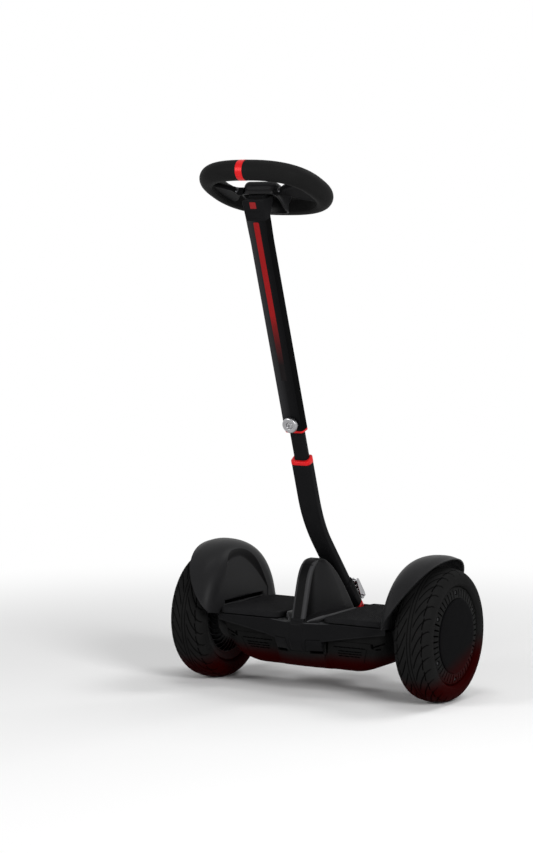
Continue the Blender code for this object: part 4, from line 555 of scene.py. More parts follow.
def tyre(side, label):
    """The tyre: its outline turned, with the tread cut in and nubs raised on the inner sidewall."""
    line = tyre_outline()
    step = np.linalg.norm(np.diff(line, axis=0), axis=1)
    across = np.concatenate([[0.0], np.cumsum(step)])
    across = (across[-1] / 2 - across)[:, None]
    turn = circle(TYRE_COLUMNS)[None, :]
    out = np.gradient(line, axis=0)[:, ::-1] * (-1, 1)
    out /= np.linalg.norm(out, axis=1, keepdims=True)
    cut = tread_cut(across, turn)
    pitch = 2 * math.pi / NUBS
    phase = (turn + pitch / 2) % pitch - pitch / 2
    radius, height = line[:, :1], line[:, 1:]
    spot = np.hypot(phase * NUB_CIRCLE, radius - NUB_CIRCLE)
    nub = np.where(height < -30 * MM, 1 - ease((spot - NUB_FLAT) / (NUB_RADIUS - NUB_FLAT)), 0.0)
    protector = PROTECTOR_RISE * within(radius - PROTECTOR_AT, PROTECTOR_HALF, 1.2 * MM)
    depth = TREAD_DEPTH * cut - NUB_RISE * nub - protector
    radius = radius - depth * out[:, :1]
    height = height - depth * out[:, 1:]
    outer = on_wheel(side, radius, height, turn)
    inside = [(90.5, -26.8), (90.5, -23.2), (82.9, -23.2), (82.9, -18.2), (101, -33), (116, -26),
              (120, 0), (116, 26), (101, 33), (82.9, 18.2), (82.9, 23.2), (90.5, 23.2), (90.5, 26.8),
              (94.2, 26.8)]
    inner = on_wheel(side, *[column[:, None] * MM for column in np.array(inside).T], turn)
    # The tread's cut also darkens the grooves as painted shade
    piece(f"{label}_tyre_moulding", [skin(np.concatenate([outer, inner]), around=True, along=True)],
          tyre_rubber, f"{label}_wheel", [f"{label}_tyre"], 60, cut)


COVER_RADIUS, COVER_LOW, COVER_HIGH, COVER_CROWN = 93.4 * MM, 30.2 * MM, 35.7 * MM, 58.0 * MM
CAP_RADIUS, CAP_TOP = 71.4 * MM, 38.2 * MM
SLOTS, SLOT_START, SLOT_STOP, SLOT_DEPTH = 48, 73.6 * MM, 89.0 * MM, 3.4 * MM
SLOT_SHARE = 0.125              # half a slot's width as a share of their pitch
SCREWS, SCREW_CIRCLE, SCREW_SINK, SCREW_DEPTH = 6, 82.5 * MM, 4.4 * MM, 2.6 * MM


def cover_height(radius):
    """How far out the cover's face stands at a radius: level in the middle, then falling to its rim."""
    share = np.clip((radius - COVER_CROWN) / (COVER_RADIUS - COVER_CROWN), 0, 1)
    return COVER_LOW + (COVER_HIGH - COVER_LOW) * (1 - share ** 3.2) ** 0.6


def outer_cover(side, label):
    """The slotted cover ring: 42 radial slots, and a counterbored screw in place of every eighth.

    Its columns lie closer together at the slots' walls, so that these stand upright."""
    pitch = 2 * math.pi / SLOTS
    stations = np.array((-0.5, -0.4, -0.3, -0.2, -SLOT_SHARE - 0.02, -SLOT_SHARE, -0.04, 0.04, SLOT_SHARE,
                         SLOT_SHARE + 0.02, 0.2, 0.3, 0.4))
    turn = ((np.arange(SLOTS)[:, None] + stations[None, :]) * pitch).ravel()[None, :]
    radii = np.concatenate([np.linspace(CAP_RADIUS + 0.9 * MM, SLOT_START - 0.2 * MM, 5),
                            np.linspace(SLOT_START, SLOT_STOP, 24),
                            COVER_RADIUS - (COVER_RADIUS - SLOT_STOP) * np.linspace(0.96, 0, 14) ** 2])
    radii = radii[:, None]
    number = np.floor(turn / pitch + 0.5).astype(int)
    phase = turn / pitch - number
    taken = (number % (SLOTS // SCREWS)) == SLOTS // SCREWS // 2
    slot = (np.abs(phase) <= SLOT_SHARE + 1e-6) & ~taken
    slot = slot & (radii >= SLOT_START - 1e-9) & (radii <= SLOT_STOP + 1e-9)
    screw_pitch = 2 * math.pi / SCREWS
    screw_phase = turn % screw_pitch - screw_pitch / 2
    spot = np.hypot(screw_phase * SCREW_CIRCLE, radii - SCREW_CIRCLE)
    sink = 1 - ease((spot - SCREW_SINK) / (0.5 * MM))
    depth = np.where(slot, SLOT_DEPTH, SCREW_DEPTH * sink)
    face = on_wheel(side, radii, cover_height(radii) - depth, turn)
    back = [(93.4, 29.4), (93.4, 26.9), (76.2, 26.9), (76.2, 22.5), (20.0, 22.5), (20.0, 12.0), (11.5, 12.0),
            (11.5, 26.2), (71.7, 26.2), (71.7, 34.6), (72.0, 35.2)]
    rest = on_wheel(side, *[column[:, None] * MM for column in np.array(back).T], turn)
    # Painted shade in the slots and the screws' counterbores
    recess = np.where(slot, 1.0, 0.6 * sink)
    shapes = [skin(np.concatenate([face, rest]), around=True, along=True)]
    piece(f"{label}_slotted_cover", shapes, cast_alloy, f"{label}_wheel",
          [f"{label}_outer_cover"], 40, recess)
    heads = []
    for k in range(SCREWS):
        angle = (k + 0.5) * screw_pitch
        centre = on_wheel(side, SCREW_CIRCLE, cover_height(SCREW_CIRCLE), angle)
        head = [(0, -2.2), (1.1, -2.2), (1.3, -1.3), (2.2, -1.3), (2.6, -1.7), (2.7, -3.2), (0, -3.2)]
        heads.append(turned(np.array(head) * MM, 24, centre, (side, 0, 0)))
    piece(f"{label}_cover_screws", heads, ground_dark, f"{label}_wheel", sharp=50)


def hub_cap(side, label):
    """The smooth cap: a shallow dome whose soft shoulder ends in a fine edge above the cover."""
    share = np.linspace(0, 1, 48) ** 0.7
    fall = 0.25 * share ** 2 + 0.75 * (1 - np.sqrt(1 - share ** 22))
    dome = np.stack([share * CAP_RADIUS, CAP_TOP - (CAP_TOP - 36.9 * MM) * fall], -1)
    edge = [(CAP_RADIUS, 34.0 * MM), (CAP_RADIUS - 2 * MM, 27.0 * MM), (0, 27.0 * MM)]
    line = np.concatenate([dome, edge])
    turn = circle(168)[None, :]
    points = on_wheel(side, line[:, :1], line[:, 1:], turn)
    piece(f"{label}_domed_cap", [skin(points, around=True)], hub_satin, f"{label}_wheel",
          [f"{label}_hub_cap"])


def rim(side, label):
    """The cast rim with rounded flanges round a bead seat."""
    corners = mm([(76.5, 26.5), (88.5, 26.5), (90.2, 25.8), (90.2, 23.5), (82.6, 23.5), (82.6, -23.5),
                  (90.2, -23.5), (90.2, -27.0), (91.8, -28.6), (92.6, -30.2), (90.6, -31.0),
                  (84.0, -28.5), (78.5, -26.5), (76.5, -26.5)])
    turn = circle(180)[None, :]
    line = eased(corners, 0.9 * MM, 3)
    points = on_wheel(side, line[:, :1], line[:, 1:], turn)
    piece(f"{label}_cast_rim", [skin(points, around=True, along=True)], cast_alloy, f"{label}_wheel",
          [f"{label}_rim"])


FINS, FIN_START, FIN_STOP = 30, 46.0 * MM, 74.5 * MM
FIN_EDGE = 0.42                 # where a window ends, as a share of the fins' pitch from its middle
WINDOW_DEEP, WINDOW_SHALLOW, WINDOW_BLACK = 6.0 * MM, 0.6 * MM, 64.0 * MM


def inner_cover(side, label):
    """The motor's inner cover: thin curved fins, dark windows between them, and a dished hub.

    A window's floor climbs from deep at the rim to the hub's own face, and painted shade makes it black
    towards the rim."""
    pitch = 2 * math.pi / FINS
    stations = np.array((-0.5, -FIN_EDGE - 0.02, -FIN_EDGE, -0.2, -0.1, 0.0, 0.1, 0.2, FIN_EDGE,
                         FIN_EDGE + 0.02))
    rows = np.concatenate([[FIN_START - 0.3 * MM], np.linspace(FIN_START, FIN_STOP, 26),
                           [FIN_STOP + 0.3 * MM, 76.2 * MM]])[:, None]
    swirl = 0.32 * np.maximum((rows - FIN_START) / (FIN_STOP - FIN_START), 0) ** 1.5
    turn = ((np.arange(FINS)[:, None] + stations[None, :]) * pitch).ravel()[None, :]
    window = np.tile(np.abs(stations) <= FIN_EDGE + 1e-6, FINS)[None, :]
    window = window & (rows >= FIN_START) & (rows <= FIN_STOP)
    face = -29.0 * MM + 2.2 * MM * ease((rows - 60 * MM) / (14 * MM))
    climb = ease((rows - FIN_START) / (WINDOW_BLACK + 6 * MM - FIN_START))
    floor = face + WINDOW_SHALLOW + (WINDOW_DEEP - WINDOW_SHALLOW) * climb
    points = on_wheel(side, rows, np.where(window, np.minimum(floor, -22.7 * MM), face), turn + swirl)
    corners = mm([(76.2, -22.5), (20, -22.5), (20, -12), (11.5, -12), (11.5, -31), (20.2, -31),
                  (21.6, -30), (23.5, -26.6), (40, -26.8), (45, -28.9)])
    rest = on_wheel(side, corners[:, :1], corners[:, 1:], turn)
    # Painted shade in the windows, full towards the rim
    recess = np.where(window, ease((rows - 58 * MM) / (10 * MM)), 0.0)
    piece(f"{label}_finned_cover", [skin(np.concatenate([points, rest]), around=True, along=True)],
          fin_alloy_painted_sheen, f"{label}_wheel", [f"{label}_inner_cover"], 40, recess)


# Fenders

FENDER_INNER = DECK_END + 0.8 * MM
FENDER_CROWN, FENDER_EDGE = TRACK_HALF - 4.3 * MM, TRACK_HALF + 19.7 * MM
FENDER_RADIUS, FENDER_WALL_TOP = WHEEL_RADIUS + 21.5 * MM, WHEEL_RADIUS - 20.0 * MM
FENDER_FOOT = DECK_TOP - 3.0 * MM
BRIM_DROP, REAR_FULL, REAR_AT, REAR_SPREAD = 5.5 * MM, 0.022, 128.0, 46.0     # turns in degrees
FENDER_SQUARENESS, FENDER_TIP, FENDER_TIP_WIDTH = 2.45, 10.0, 4.5 * MM
ARCH_PEAK, ARCH_FRONT, ARCH_REAR = -13.0 * MM, -85.6 * MM, 89.0 * MM
ARCH_FOOT, ARCH_TOP, ARCH_INNER_TOP = 174.0 * MM, 262.0 * MM, 249.0 * MM
PANEL_STEP, PANEL_SINK, PANEL_FOOT = 0.9 * MM, 4.0 * MM, 163 * MM
SLOT_AT, SLOT_HALF_HEIGHT, SLOT_SINK = 163.3 * MM, 3.2 * MM, 2.2 * MM


def arch_height(y, top, front_power, rear_power):
    """Height of an arch over the panel: a flat-topped power curve, longer to the rear."""
    share = np.where(y < ARCH_PEAK, (y - ARCH_PEAK) / (ARCH_FRONT - ARCH_PEAK),
                     (y - ARCH_PEAK) / (ARCH_REAR - ARCH_PEAK))
    share = np.clip(share, 0, 1.2)
    fall = np.where(y < ARCH_PEAK, share ** front_power, share ** rear_power)
    return ARCH_FOOT + (top - ARCH_FOOT) * (1 - fall)


def fender(side, label):
    """The dome over the wheel: up a flat wall, then over a superelliptic crown to the free edge.

    Its inboard wall holds an inset panel under a crescent that tapers out at both feet. The
    columns of its grid follow the two arches, so that their edges stay crisp."""
    power = 2 / FENDER_SQUARENESS
    turn = np.linspace(0, math.pi / 2, 300)
    curve_x = FENDER_CROWN - (FENDER_CROWN - FENDER_INNER) * np.cos(turn) ** power
    curve_r = FENDER_WALL_TOP + (FENDER_RADIUS - FENDER_WALL_TOP) * np.sin(turn) ** power
    brim = np.linspace(0, 1, 12)[1:]
    curve_x = np.concatenate([[FENDER_INNER], curve_x, FENDER_CROWN + (FENDER_EDGE - FENDER_CROWN) * brim])
    curve_r = np.concatenate([[13 * MM], curve_r, FENDER_RADIUS - BRIM_DROP * brim ** 2])
    length = np.concatenate([[0], np.cumsum(np.hypot(np.diff(curve_x), np.diff(curve_r)))])
    dome_r, dome_length = curve_r[:-len(brim)], length[:-len(brim)]
    angle = np.linspace(FENDER_TIP, 180 - FENDER_TIP, 260)[:, None]
    across, up = -np.cos(np.radians(angle)), np.sin(np.radians(angle))
    rise = np.minimum(angle, 180 - angle)
    share = (rise - FENDER_TIP) / (90 - FENDER_TIP)
    tip = FENDER_INNER + FENDER_TIP_WIDTH
    edge_x = tip + (FENDER_EDGE - tip) * (1 - (1 - share) ** 2.2)
    first = np.interp((FENDER_FOOT - WHEEL_RADIUS) / up, dome_r, dome_length)
    last = np.maximum(np.interp(edge_x, curve_x, length), first + FENDER_TIP_WIDTH)

    def crossing(top, front_power, rear_power):
        """Length along each ray where it leaves the area under an arch."""
        r = np.linspace(0, FENDER_RADIUS - BRIM_DROP, 900)[None, :]
        y, z = r * across, WHEEL_RADIUS + r * up
        under = (z < arch_height(y, top, front_power, rear_power)) & (y > ARCH_FRONT) & (y < ARCH_REAR)
        leave = np.interp(np.max(r * under, axis=1, keepdims=True), dome_r, dome_length)
        return np.clip(leave, first + 0.4 * MM, last - 8 * MM)

    inner, outer = crossing(ARCH_INNER_TOP, 4.0, 1.5), crossing(ARCH_TOP, 3.0, 2.1)
    outer = np.maximum(outer, inner + 0.7 * MM)
    panel_steps, crown_steps = np.linspace(0, 1, 44), np.linspace(0, 1, 84)[1:]
    crescent_steps = np.linspace(0, 1, 8)[1:]
    parts = ((first, inner, panel_steps), (inner, outer, crescent_steps), (outer, last, crown_steps))
    along = np.concatenate([start + (stop - start) * steps[None, :] for start, stop, steps in parts], 1)
    sunk = np.concatenate([1 + 0 * panel_steps, np.linspace(1, 0, 8)[1:], 0 * crown_steps])
    x, radius = np.interp(along, length, curve_x), np.interp(along, length, curve_r)
    fuller = REAR_FULL * ease(1 - np.abs(angle - REAR_AT) / REAR_SPREAD)
    radius = radius * (1 + fuller * ease((radius - 100 * MM) / (45 * MM)))
    y, z = radius * across, WHEEL_RADIUS + radius * up
    lean = np.clip((z - PANEL_FOOT) / (ARCH_INNER_TOP - PANEL_FOOT), 0, 1.3)
    panel = PANEL_STEP + PANEL_SINK * lean ** 1.1
    x = x + np.maximum(FENDER_INNER + panel - x, 0) * sunk[None, :]
    slot = within(z - SLOT_AT, SLOT_HALF_HEIGHT) * within(y + 1 * MM, 66 * MM, 9 * MM)
    x = x + SLOT_SINK * slot * (x < FENDER_INNER + 8 * MM)
    points = np.stack([side * x, y + AXLE_Y, z], -1)
    lip = 0.5 * MM * ease((along - last + 2.6 * MM) / (1.6 * MM))
    centre = (side * TRACK_HALF, AXLE_Y, WHEEL_RADIUS)
    points = points + normals(points, centre) * lip[..., None]
    # Painted shade on the crescent above the panel and in the slot
    crescent = np.concatenate([0 * panel_steps[1:], [0.4], 0.55 + 0 * crescent_steps, 0 * crown_steps])
    crescent = crescent[None, :]
    crescent = crescent * ease((inner - first) / (6 * MM)) * ease((outer - inner - 1 * MM) / (4 * MM))
    recess = np.maximum(slot * (x < FENDER_INNER + 10 * MM), crescent)
    piece(f"{label}_fender_dome", [shell(points, 2.4 * MM, centre)], satin_shell, "frame",
          [f"{label}_fender"], 50, recess)


# Deck, chin and tray

DECK_FRONT, DECK_EDGE = 98.5 * MM, 2.6 * MM
NOSE_REACH, NOSE_FLAT, NOSE_HALF = 18.5 * MM, 15.0 * MM, 86.0 * MM
TAIL_REACH, TAIL_FLAT, TAIL_HALF = 49.5 * MM, 38.0 * MM, 72.0 * MM
CHIN_LOW, CHIN_BOTTOM, CHIN_TOP, CHIN_DEEP = 89.5 * MM, 50.0 * MM, 51.6 * MM, 16.0 * MM
APRON_LOW, APRON_HIGH = DECK_TOP - 36.0 * MM, DECK_TOP - 12.5 * MM
TUCK_START, TUCK = 113.0 * MM, 12.0 * MM
SLOT_MIDDLE, SLOT_HALF = 38.0 * MM, 12.5 * MM
LEDGE_RISE, LEDGE_EDGE, LEDGE_TIP, LEDGE_RUN = 11.3 * MM, 44.5 * MM, 20.0 * MM, 44 * MM
LEDGE_SIDE, LEDGE_FALL, LEDGE_DROP = 2.6 * MM, 34 * MM, 0.68       # LEDGE_DROP as a share of its rise
PLATE_SEAM, SEAM_HALF, SEAM_EDGE = 113.8 * MM, 0.25 * MM, 0.5 * MM
TAIL_STATION = 70 * MM          # where along the ledge the tail takes its height from


def nose(x, reach, flat, half):
    """How far the middle stands out beyond the deck's edge at one X."""
    return reach * (1 - ease((np.abs(x) - flat) / (half - flat)))


def apron_edge(x):
    """Height of the front's lower edge: a chin with two slots under it, then rising to the wheel."""
    across = np.abs(x)
    notch = 2.4 * MM * within(across - SLOT_MIDDLE, SLOT_HALF, 0.8 * MM)
    climb = np.clip((across - CHIN_BOTTOM) / (CHIN_TOP - CHIN_BOTTOM), 0, 1)
    chin = CHIN_LOW + notch + (APRON_LOW - CHIN_LOW) * climb
    out = APRON_LOW + (APRON_HIGH - APRON_LOW) * (across - CHIN_TOP) / (DECK_END - CHIN_TOP)
    return np.where(across <= CHIN_TOP, chin, out)


def apron_front(x, z):
    """Y of the front's face, which curves back at the chin's lower edge."""
    tuck = np.clip((TUCK_START - z) / (TUCK_START - CHIN_LOW), 0, 1.2)
    return -(DECK_FRONT + nose(x, NOSE_REACH, NOSE_FLAT, NOSE_HALF) - TUCK * tuck ** 1.7)


def ledge_edge(y):
    """How far from the middle the ledge's side stands: narrow at its front tip, then wide."""
    return LEDGE_TIP + (LEDGE_EDGE - LEDGE_TIP) * ease((y + 112 * MM) / LEDGE_RUN)


def plinth(x, y):
    """Height of the ledge between the mats: level, with a crisp side, falling to the chin in front."""
    side = 1 - np.clip((np.abs(x) - ledge_edge(y)) / LEDGE_SIDE, 0, 1)
    drop = 1 - LEDGE_DROP * ease((y - LEDGE_FALL) / (30 * MM))
    return LEDGE_RISE * side * drop * ease((y + 118 * MM) / LEDGE_RUN)


def mirrored_stations(*spans):
    """Places along X from spans of (start, stop, count), on both sides of the middle."""
    half = np.unique(np.concatenate([np.linspace(*span) for span in spans]))
    return np.unique(np.concatenate([-half, half]))


def deck_cover():
    """The upper shell: its apron and chin, the rounded edge, the deck and the ledge between the mats."""
    x = mirrored_stations((0, 18 * MM, 18), (18 * MM, CHIN_BOTTOM, 44), (CHIN_BOTTOM, CHIN_TOP, 8),
                          (CHIN_TOP, DECK_END, 64))[None, :]
    shoulder = DECK_TOP - DECK_EDGE
    low = apron_edge(x)
    share = np.linspace(0, 1, 50)[:, None]
    z = low + (shoulder - 0.4 * MM - low) * share
    y = apron_front(x, z)
    across = np.abs(x)
    level_seam = within(z - PLATE_SEAM, SEAM_HALF, SEAM_EDGE) * (across > 21 * MM) * (across < CHIN_BOTTOM)
    plate_side = 15.5 * MM + 6.5 * MM * np.clip((z - CHIN_LOW) / (24 * MM), 0, 1) ** 0.6
    upright = within(across - plate_side, SEAM_HALF, SEAM_EDGE) * (z < PLATE_SEAM)
    seam = np.maximum(level_seam, upright)
    y = y + 0.6 * MM * seam
    lip = within(z - low, 1.0 * MM, 1.0 * MM) * (across > CHIN_TOP)
    y = y - 0.4 * MM * lip
    turn = np.radians(np.linspace(0, 90, 9))[:, None]
    edge = apron_front(x, shoulder)
    corner_y = edge + DECK_EDGE * (1 - np.cos(turn))
    corner_z = shoulder + DECK_EDGE * np.sin(turn)
    corner_z = corner_z + plinth(x, corner_y) * np.sin(turn)
    run = np.linspace(0, 1, 110)[1:, None] ** 1.3
    start = edge + DECK_EDGE
    top_y = start + (TAIL_SEAM - 0.3 * MM - start) * run
    top_z = DECK_TOP + plinth(x, top_y)
    notch = within(across - 46.5 * MM, 3.6 * MM, 0.8 * MM) * within(top_y + 96 * MM, 4.5 * MM, 1 * MM)
    top_z = top_z - 0.8 * MM * notch
    rows_y = np.concatenate([y, corner_y + 0 * x, top_y])
    rows_z = np.concatenate([z, corner_z, top_z])
    points = np.stack(np.broadcast_arrays(x, rows_y + AXLE_Y, rows_z), -1)
    ledge_side_highlight = within(across - ledge_edge(top_y), 0.7 * MM, 0.9 * MM) * (plinth(0 * x, top_y) > 1.5 * MM)
    front_edge_highlight = within(corner_y - edge - 0.5 * DECK_EDGE, 0.4 * MM, 0.9 * MM)
    front_edge_highlight = front_edge_highlight * within(across - 40 * MM, 16 * MM, 12 * MM)
    # Dark seams, and painted highlights along the deck's front edge, on the notch and along the ledge's sides
    recess = np.concatenate([seam * 0.8, -0.3 * front_edge_highlight, -0.3 * notch - 0.4 * ledge_side_highlight])
    inside = (0, AXLE_Y, DECK_TOP - 40 * MM)
    body = []
    for height in np.linspace(CHIN_LOW + 1.7 * MM, APRON_LOW + 6 * MM, 8):
        along = np.linspace(-CHIN_BOTTOM, CHIN_BOTTOM, 41)
        front = np.column_stack([along, apron_front(along, height) + 1.2 * MM + AXLE_Y])
        back = np.column_stack([along[::-1], apron_front(along[::-1], height) + CHIN_DEEP + AXLE_Y])
        body.append(level(np.concatenate([front, back]), height))
    piece("deck_shell", [shell(points, 2.0 * MM, inside), capped(np.array(body))], deck_abs_painted_shade, "frame",
          ["deck_cover"], 30, recess)


OPENING_HALF, OPENING_REAR = 40.0 * MM, 137.5 * MM


def tail_cover():
    """The shell's rear part, with the opening that the column's foot stands in."""
    x = mirrored_stations((0, OPENING_HALF, 30), (OPENING_HALF, TAIL_HALF, 24),
                          (TAIL_HALF, DECK_END, 40))[None, :]
    back = DECK_FRONT + nose(x, TAIL_REACH, TAIL_FLAT, TAIL_HALF)
    shoulder = DECK_TOP - DECK_EDGE
    low = np.maximum(apron_edge(x), APRON_LOW)
    run = np.linspace(0, 1, 14)[:, None]
    opening_rear = np.minimum(OPENING_REAR, back - DECK_EDGE - 1 * MM)
    first = TAIL_SEAM + (opening_rear - TAIL_SEAM) * run
    second = opening_rear + (back - DECK_EDGE - opening_rear) * np.linspace(0, 1, 6)[1:, None]
    turn = np.radians(np.linspace(90, 0, 9))[1:, None]
    down = np.linspace(0, 1, 30)[1:, None]
    y = np.concatenate([first, second, back - DECK_EDGE * (1 - np.cos(turn)), back + 0 * down])
    z = np.concatenate([DECK_TOP + 0 * first, DECK_TOP + 0 * second,
                        shoulder + DECK_EDGE * np.sin(turn) + 0 * x, shoulder + (low - shoulder) * down])
    seam = within(z - (DECK_TOP - 27 * MM), 0.4 * MM, 0.5 * MM) * (np.abs(x) < TAIL_FLAT)
    y = y - 0.6 * MM * seam
    z = z + plinth(x, TAIL_STATION) * ease((back - y) / (26 * MM)) * (z > shoulder)
    points = np.stack(np.broadcast_arrays(x, y + AXLE_Y, z), -1)
    middle_x = np.abs((x[0, 1:] + x[0, :-1]) / 2)[None, :]
    keep = ~((middle_x < OPENING_HALF) & (np.arange(len(y) - 1)[:, None] < 13))
    inside = (0, AXLE_Y, DECK_TOP - 40 * MM)
    piece("tail_shell", [shell(points, 2.6 * MM, inside, keep)], deck_abs_painted_shade, "frame",
          ["tail_cover"], 40, seam)


TRAY_FRONT, TRAY_TUCK = 94.0 * MM, 37.0 * MM
TRAY_FLAT, TRAY_FACE, TRAY_END_FRONT = 100.0 * MM, DECK_END - 37 * MM, 66.0 * MM
TRAY_END_RISE, TRAY_SEAM, TRAY_LAP = 31.0 * MM, 113.4 * MM, 5.0 * MM
BELLY_TOP, BELLY_SIDE = CHIN_LOW - 0.3 * MM, 60.0 * MM
SHOULDER_END, SHOULDER_TURN = 171.0 * MM, 19.0 * MM
VENT_BARS = ((68.4, 135.6, 101.8), (78, 127, 94.0), (77, 127, 89.0), (76, 122, 84.0))   # X span and Z in mm
RIB_PITCH, BOLT_PITCH, BOLT_ROW, TRAY_BULGE, BESIDE_BULGE = 24 * MM, 62 * MM, 46 * MM, 1.5, 1.12


def tray():
    """The tray under the frame: a belly flush with the chin, vented faces beside it, ribs and screws below.

    Each column runs down the front as a power curve, along the floor and up the rear."""
    x = mirrored_stations((0, CHIN_BOTTOM, 30), (CHIN_BOTTOM, BELLY_SIDE, 12), (BELLY_SIDE, TRAY_FACE, 70),
                          (TRAY_FACE, DECK_END, 24))[None, :]
    across = np.abs(x)
    share = np.clip((across - TRAY_FLAT) / (DECK_END - TRAY_FLAT), 0, 1)
    floor = TRAY_LOW + TRAY_END_RISE * share ** 1.8
    end = ease((across - TRAY_FACE) / (DECK_END - TRAY_FACE)) * 0.6 + 0.4 * np.clip(
        (across - TRAY_FACE) / (DECK_END - TRAY_FACE), 0, 1)
    foot = TRAY_FRONT - (TRAY_FRONT - TRAY_END_FRONT) * end - TRAY_TUCK
    beside = ease((across - CHIN_TOP) / (BELLY_SIDE - CHIN_TOP))
    turn_in = SHOULDER_TURN * np.clip((across - SHOULDER_END) / (DECK_END - SHOULDER_END), 0, 1) ** 2
    belly = -apron_front(x, CHIN_LOW) - 0.3 * MM
    front = np.where(across > CHIN_TOP, belly + (TRAY_FRONT - turn_in - belly) * beside, belly)
    high = np.where(across > CHIN_TOP, apron_edge(x) + TRAY_LAP, BELLY_TOP)
    bulge = TRAY_BULGE + (BESIDE_BULGE - TRAY_BULGE) * beside
    depth = np.linspace(0, 1, 92)[:, None] ** 1.15
    face_y = front - (front - foot) * depth ** bulge
    face_z = high - (high - floor) * (1 - (1 - depth) ** 2)
    vents = np.zeros(face_z.shape)
    for start, stop, height in VENT_BARS:
        middle, half = (start + stop) / 2 * MM, (stop - start) / 2 * MM
        bar = within(across - middle, half, 0.8 * MM) * within(face_z - height * MM, 0.5 * MM, 0.5 * MM)
        vents = np.maximum(vents, bar)
    plate_line = within(across - 139 * MM + 0.39 * (100.5 * MM - face_z), 0.4 * MM, 0.6 * MM)
    plate_line = plate_line * (face_z < 102 * MM) * (face_z > 72 * MM)
    top_line = within(face_z - TRAY_SEAM, 0.3 * MM, 0.5 * MM) * (across > 64 * MM) * (across < 149 * MM)
    chin_gap = within(across - 52.5 * MM - 0.16 * (face_z - CHIN_LOW), 1.8 * MM, 0.8 * MM)
    chin_gap = chin_gap * (face_z > CHIN_LOW - 3 * MM)
    chin_slot = within(across - SLOT_MIDDLE, SLOT_HALF, 0.8 * MM) * ease((face_z - 85.8 * MM) / (0.5 * MM))
    hook = within(across - 151.0 * MM, 1.6 * MM, 0.8 * MM) * within(face_z - 108.0 * MM, 4.5 * MM, 0.8 * MM)
    slant = within(face_z - 106.0 * MM - 0.38 * (across - 152 * MM), 1.0 * MM, 0.7 * MM)
    slant = slant * within(across - 164 * MM, 12 * MM, 1 * MM)
    hole = within(face_z - 102.5 * MM - 0.1 * (across - 162 * MM), 1.0 * MM, 0.6 * MM)
    hole = hole * within(across - 162 * MM, 4.5 * MM)
    line = np.maximum.reduce([plate_line, top_line]) * 0.75
    pit = np.maximum.reduce([vents, chin_gap, chin_slot, hook, slant, hole])
    front_rows_y = -face_y + 2.4 * MM * pit + 6 * MM * chin_slot + 0.6 * MM * line
    under = np.linspace(0, 1, 30)[1:-1, None]
    tail = nose(x, TAIL_REACH, TAIL_FLAT, TAIL_HALF)
    rear_high = apron_edge(np.maximum(across, CHIN_TOP)) + TRAY_LAP
    rear_depth = np.linspace(1, 0, 36)[:, None]
    rear_z = rear_high - (rear_high - floor) * (1 - (1 - rear_depth) ** 2)
    rear_front = TRAY_FRONT - turn_in
    rear_climb = np.maximum((rear_z - floor) / (rear_high - floor), 0)
    rear_y = rear_front - (rear_front - foot) * rear_depth ** 1.6 + tail * rear_climb ** 1.4
    start_y, stop_y = front_rows_y[-1:], rear_y[:1]
    under_y = start_y + (stop_y - start_y) * under
    rib = within(under_y % RIB_PITCH - RIB_PITCH / 2, 1.0 * MM, 1.0 * MM) * (across < 92 * MM)
    bolt_x = np.abs(across % BOLT_PITCH - BOLT_PITCH / 2)
    bolt = 1 - ease((np.hypot(bolt_x, np.abs(under_y) - BOLT_ROW) - 3.6 * MM) / (0.6 * MM))
    under_z = floor + 1.2 * MM * rib * (bolt < 0.01) + 1.6 * MM * bolt
    y = np.concatenate([front_rows_y, under_y, rear_y])
    z = np.concatenate([face_z, under_z, rear_z])
    points = np.stack(np.broadcast_arrays(x, y + AXLE_Y, z), -1)
    # Painted shade in the vents, gaps, slots and holes and in the screw pockets underneath, and darker plate
    # lines
    recess = np.concatenate([np.maximum(pit, line), 0.8 * bolt, 0 * rear_y])
    inside = (0, AXLE_Y, TRAY_TOP)
    piece("tray_moulding", [shell(points, 2.0 * MM, inside)], matt_plastic, "frame",
          ["lower_tray"], 40, recess)


def chassis():
    """The cast frame inside the body: an open frame round the battery, and a plate at each axle."""
    low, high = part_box("main_frame")[0].z, DECK_TOP - 7.5 * MM
    shapes = [sleeve((320 * MM, 160 * MM, 14 * MM), (290 * MM, 120 * MM, 8 * MM), low, high, 1.5 * MM)]
    for side in (1, -1):
        plate = slab(25.0 * MM, 124.0 * MM, 5.0 * MM, low + 1 * MM, high, 1.2 * MM)
        shapes.append((plate[0] + (side * 171.6 * MM, 0, 0), plate[1]))
    shapes = [(points + (0, AXLE_Y, 0), quads) for points, quads in shapes]
    piece("chassis_casting", shapes, cast_magnesium, "frame", ["main_frame"], 40)


MAT_CORNER, MAT_EDGE = 12.0 * MM, 4.6 * MM
DASH_ROW, DASH_PITCH, DASH_HALF, DASH_LEAN = 4.0 * MM, 9.0 * MM, 3.1 * MM, 128.0     # DASH_LEAN in degrees
DASH_RISE, DASH_SHADE = 0.5 * MM, 0.30
BORDER_AT, BORDER_DEPTH, FIELD_AT = 6.0 * MM, 0.6 * MM, 7 * MM      # in from the mat's outline


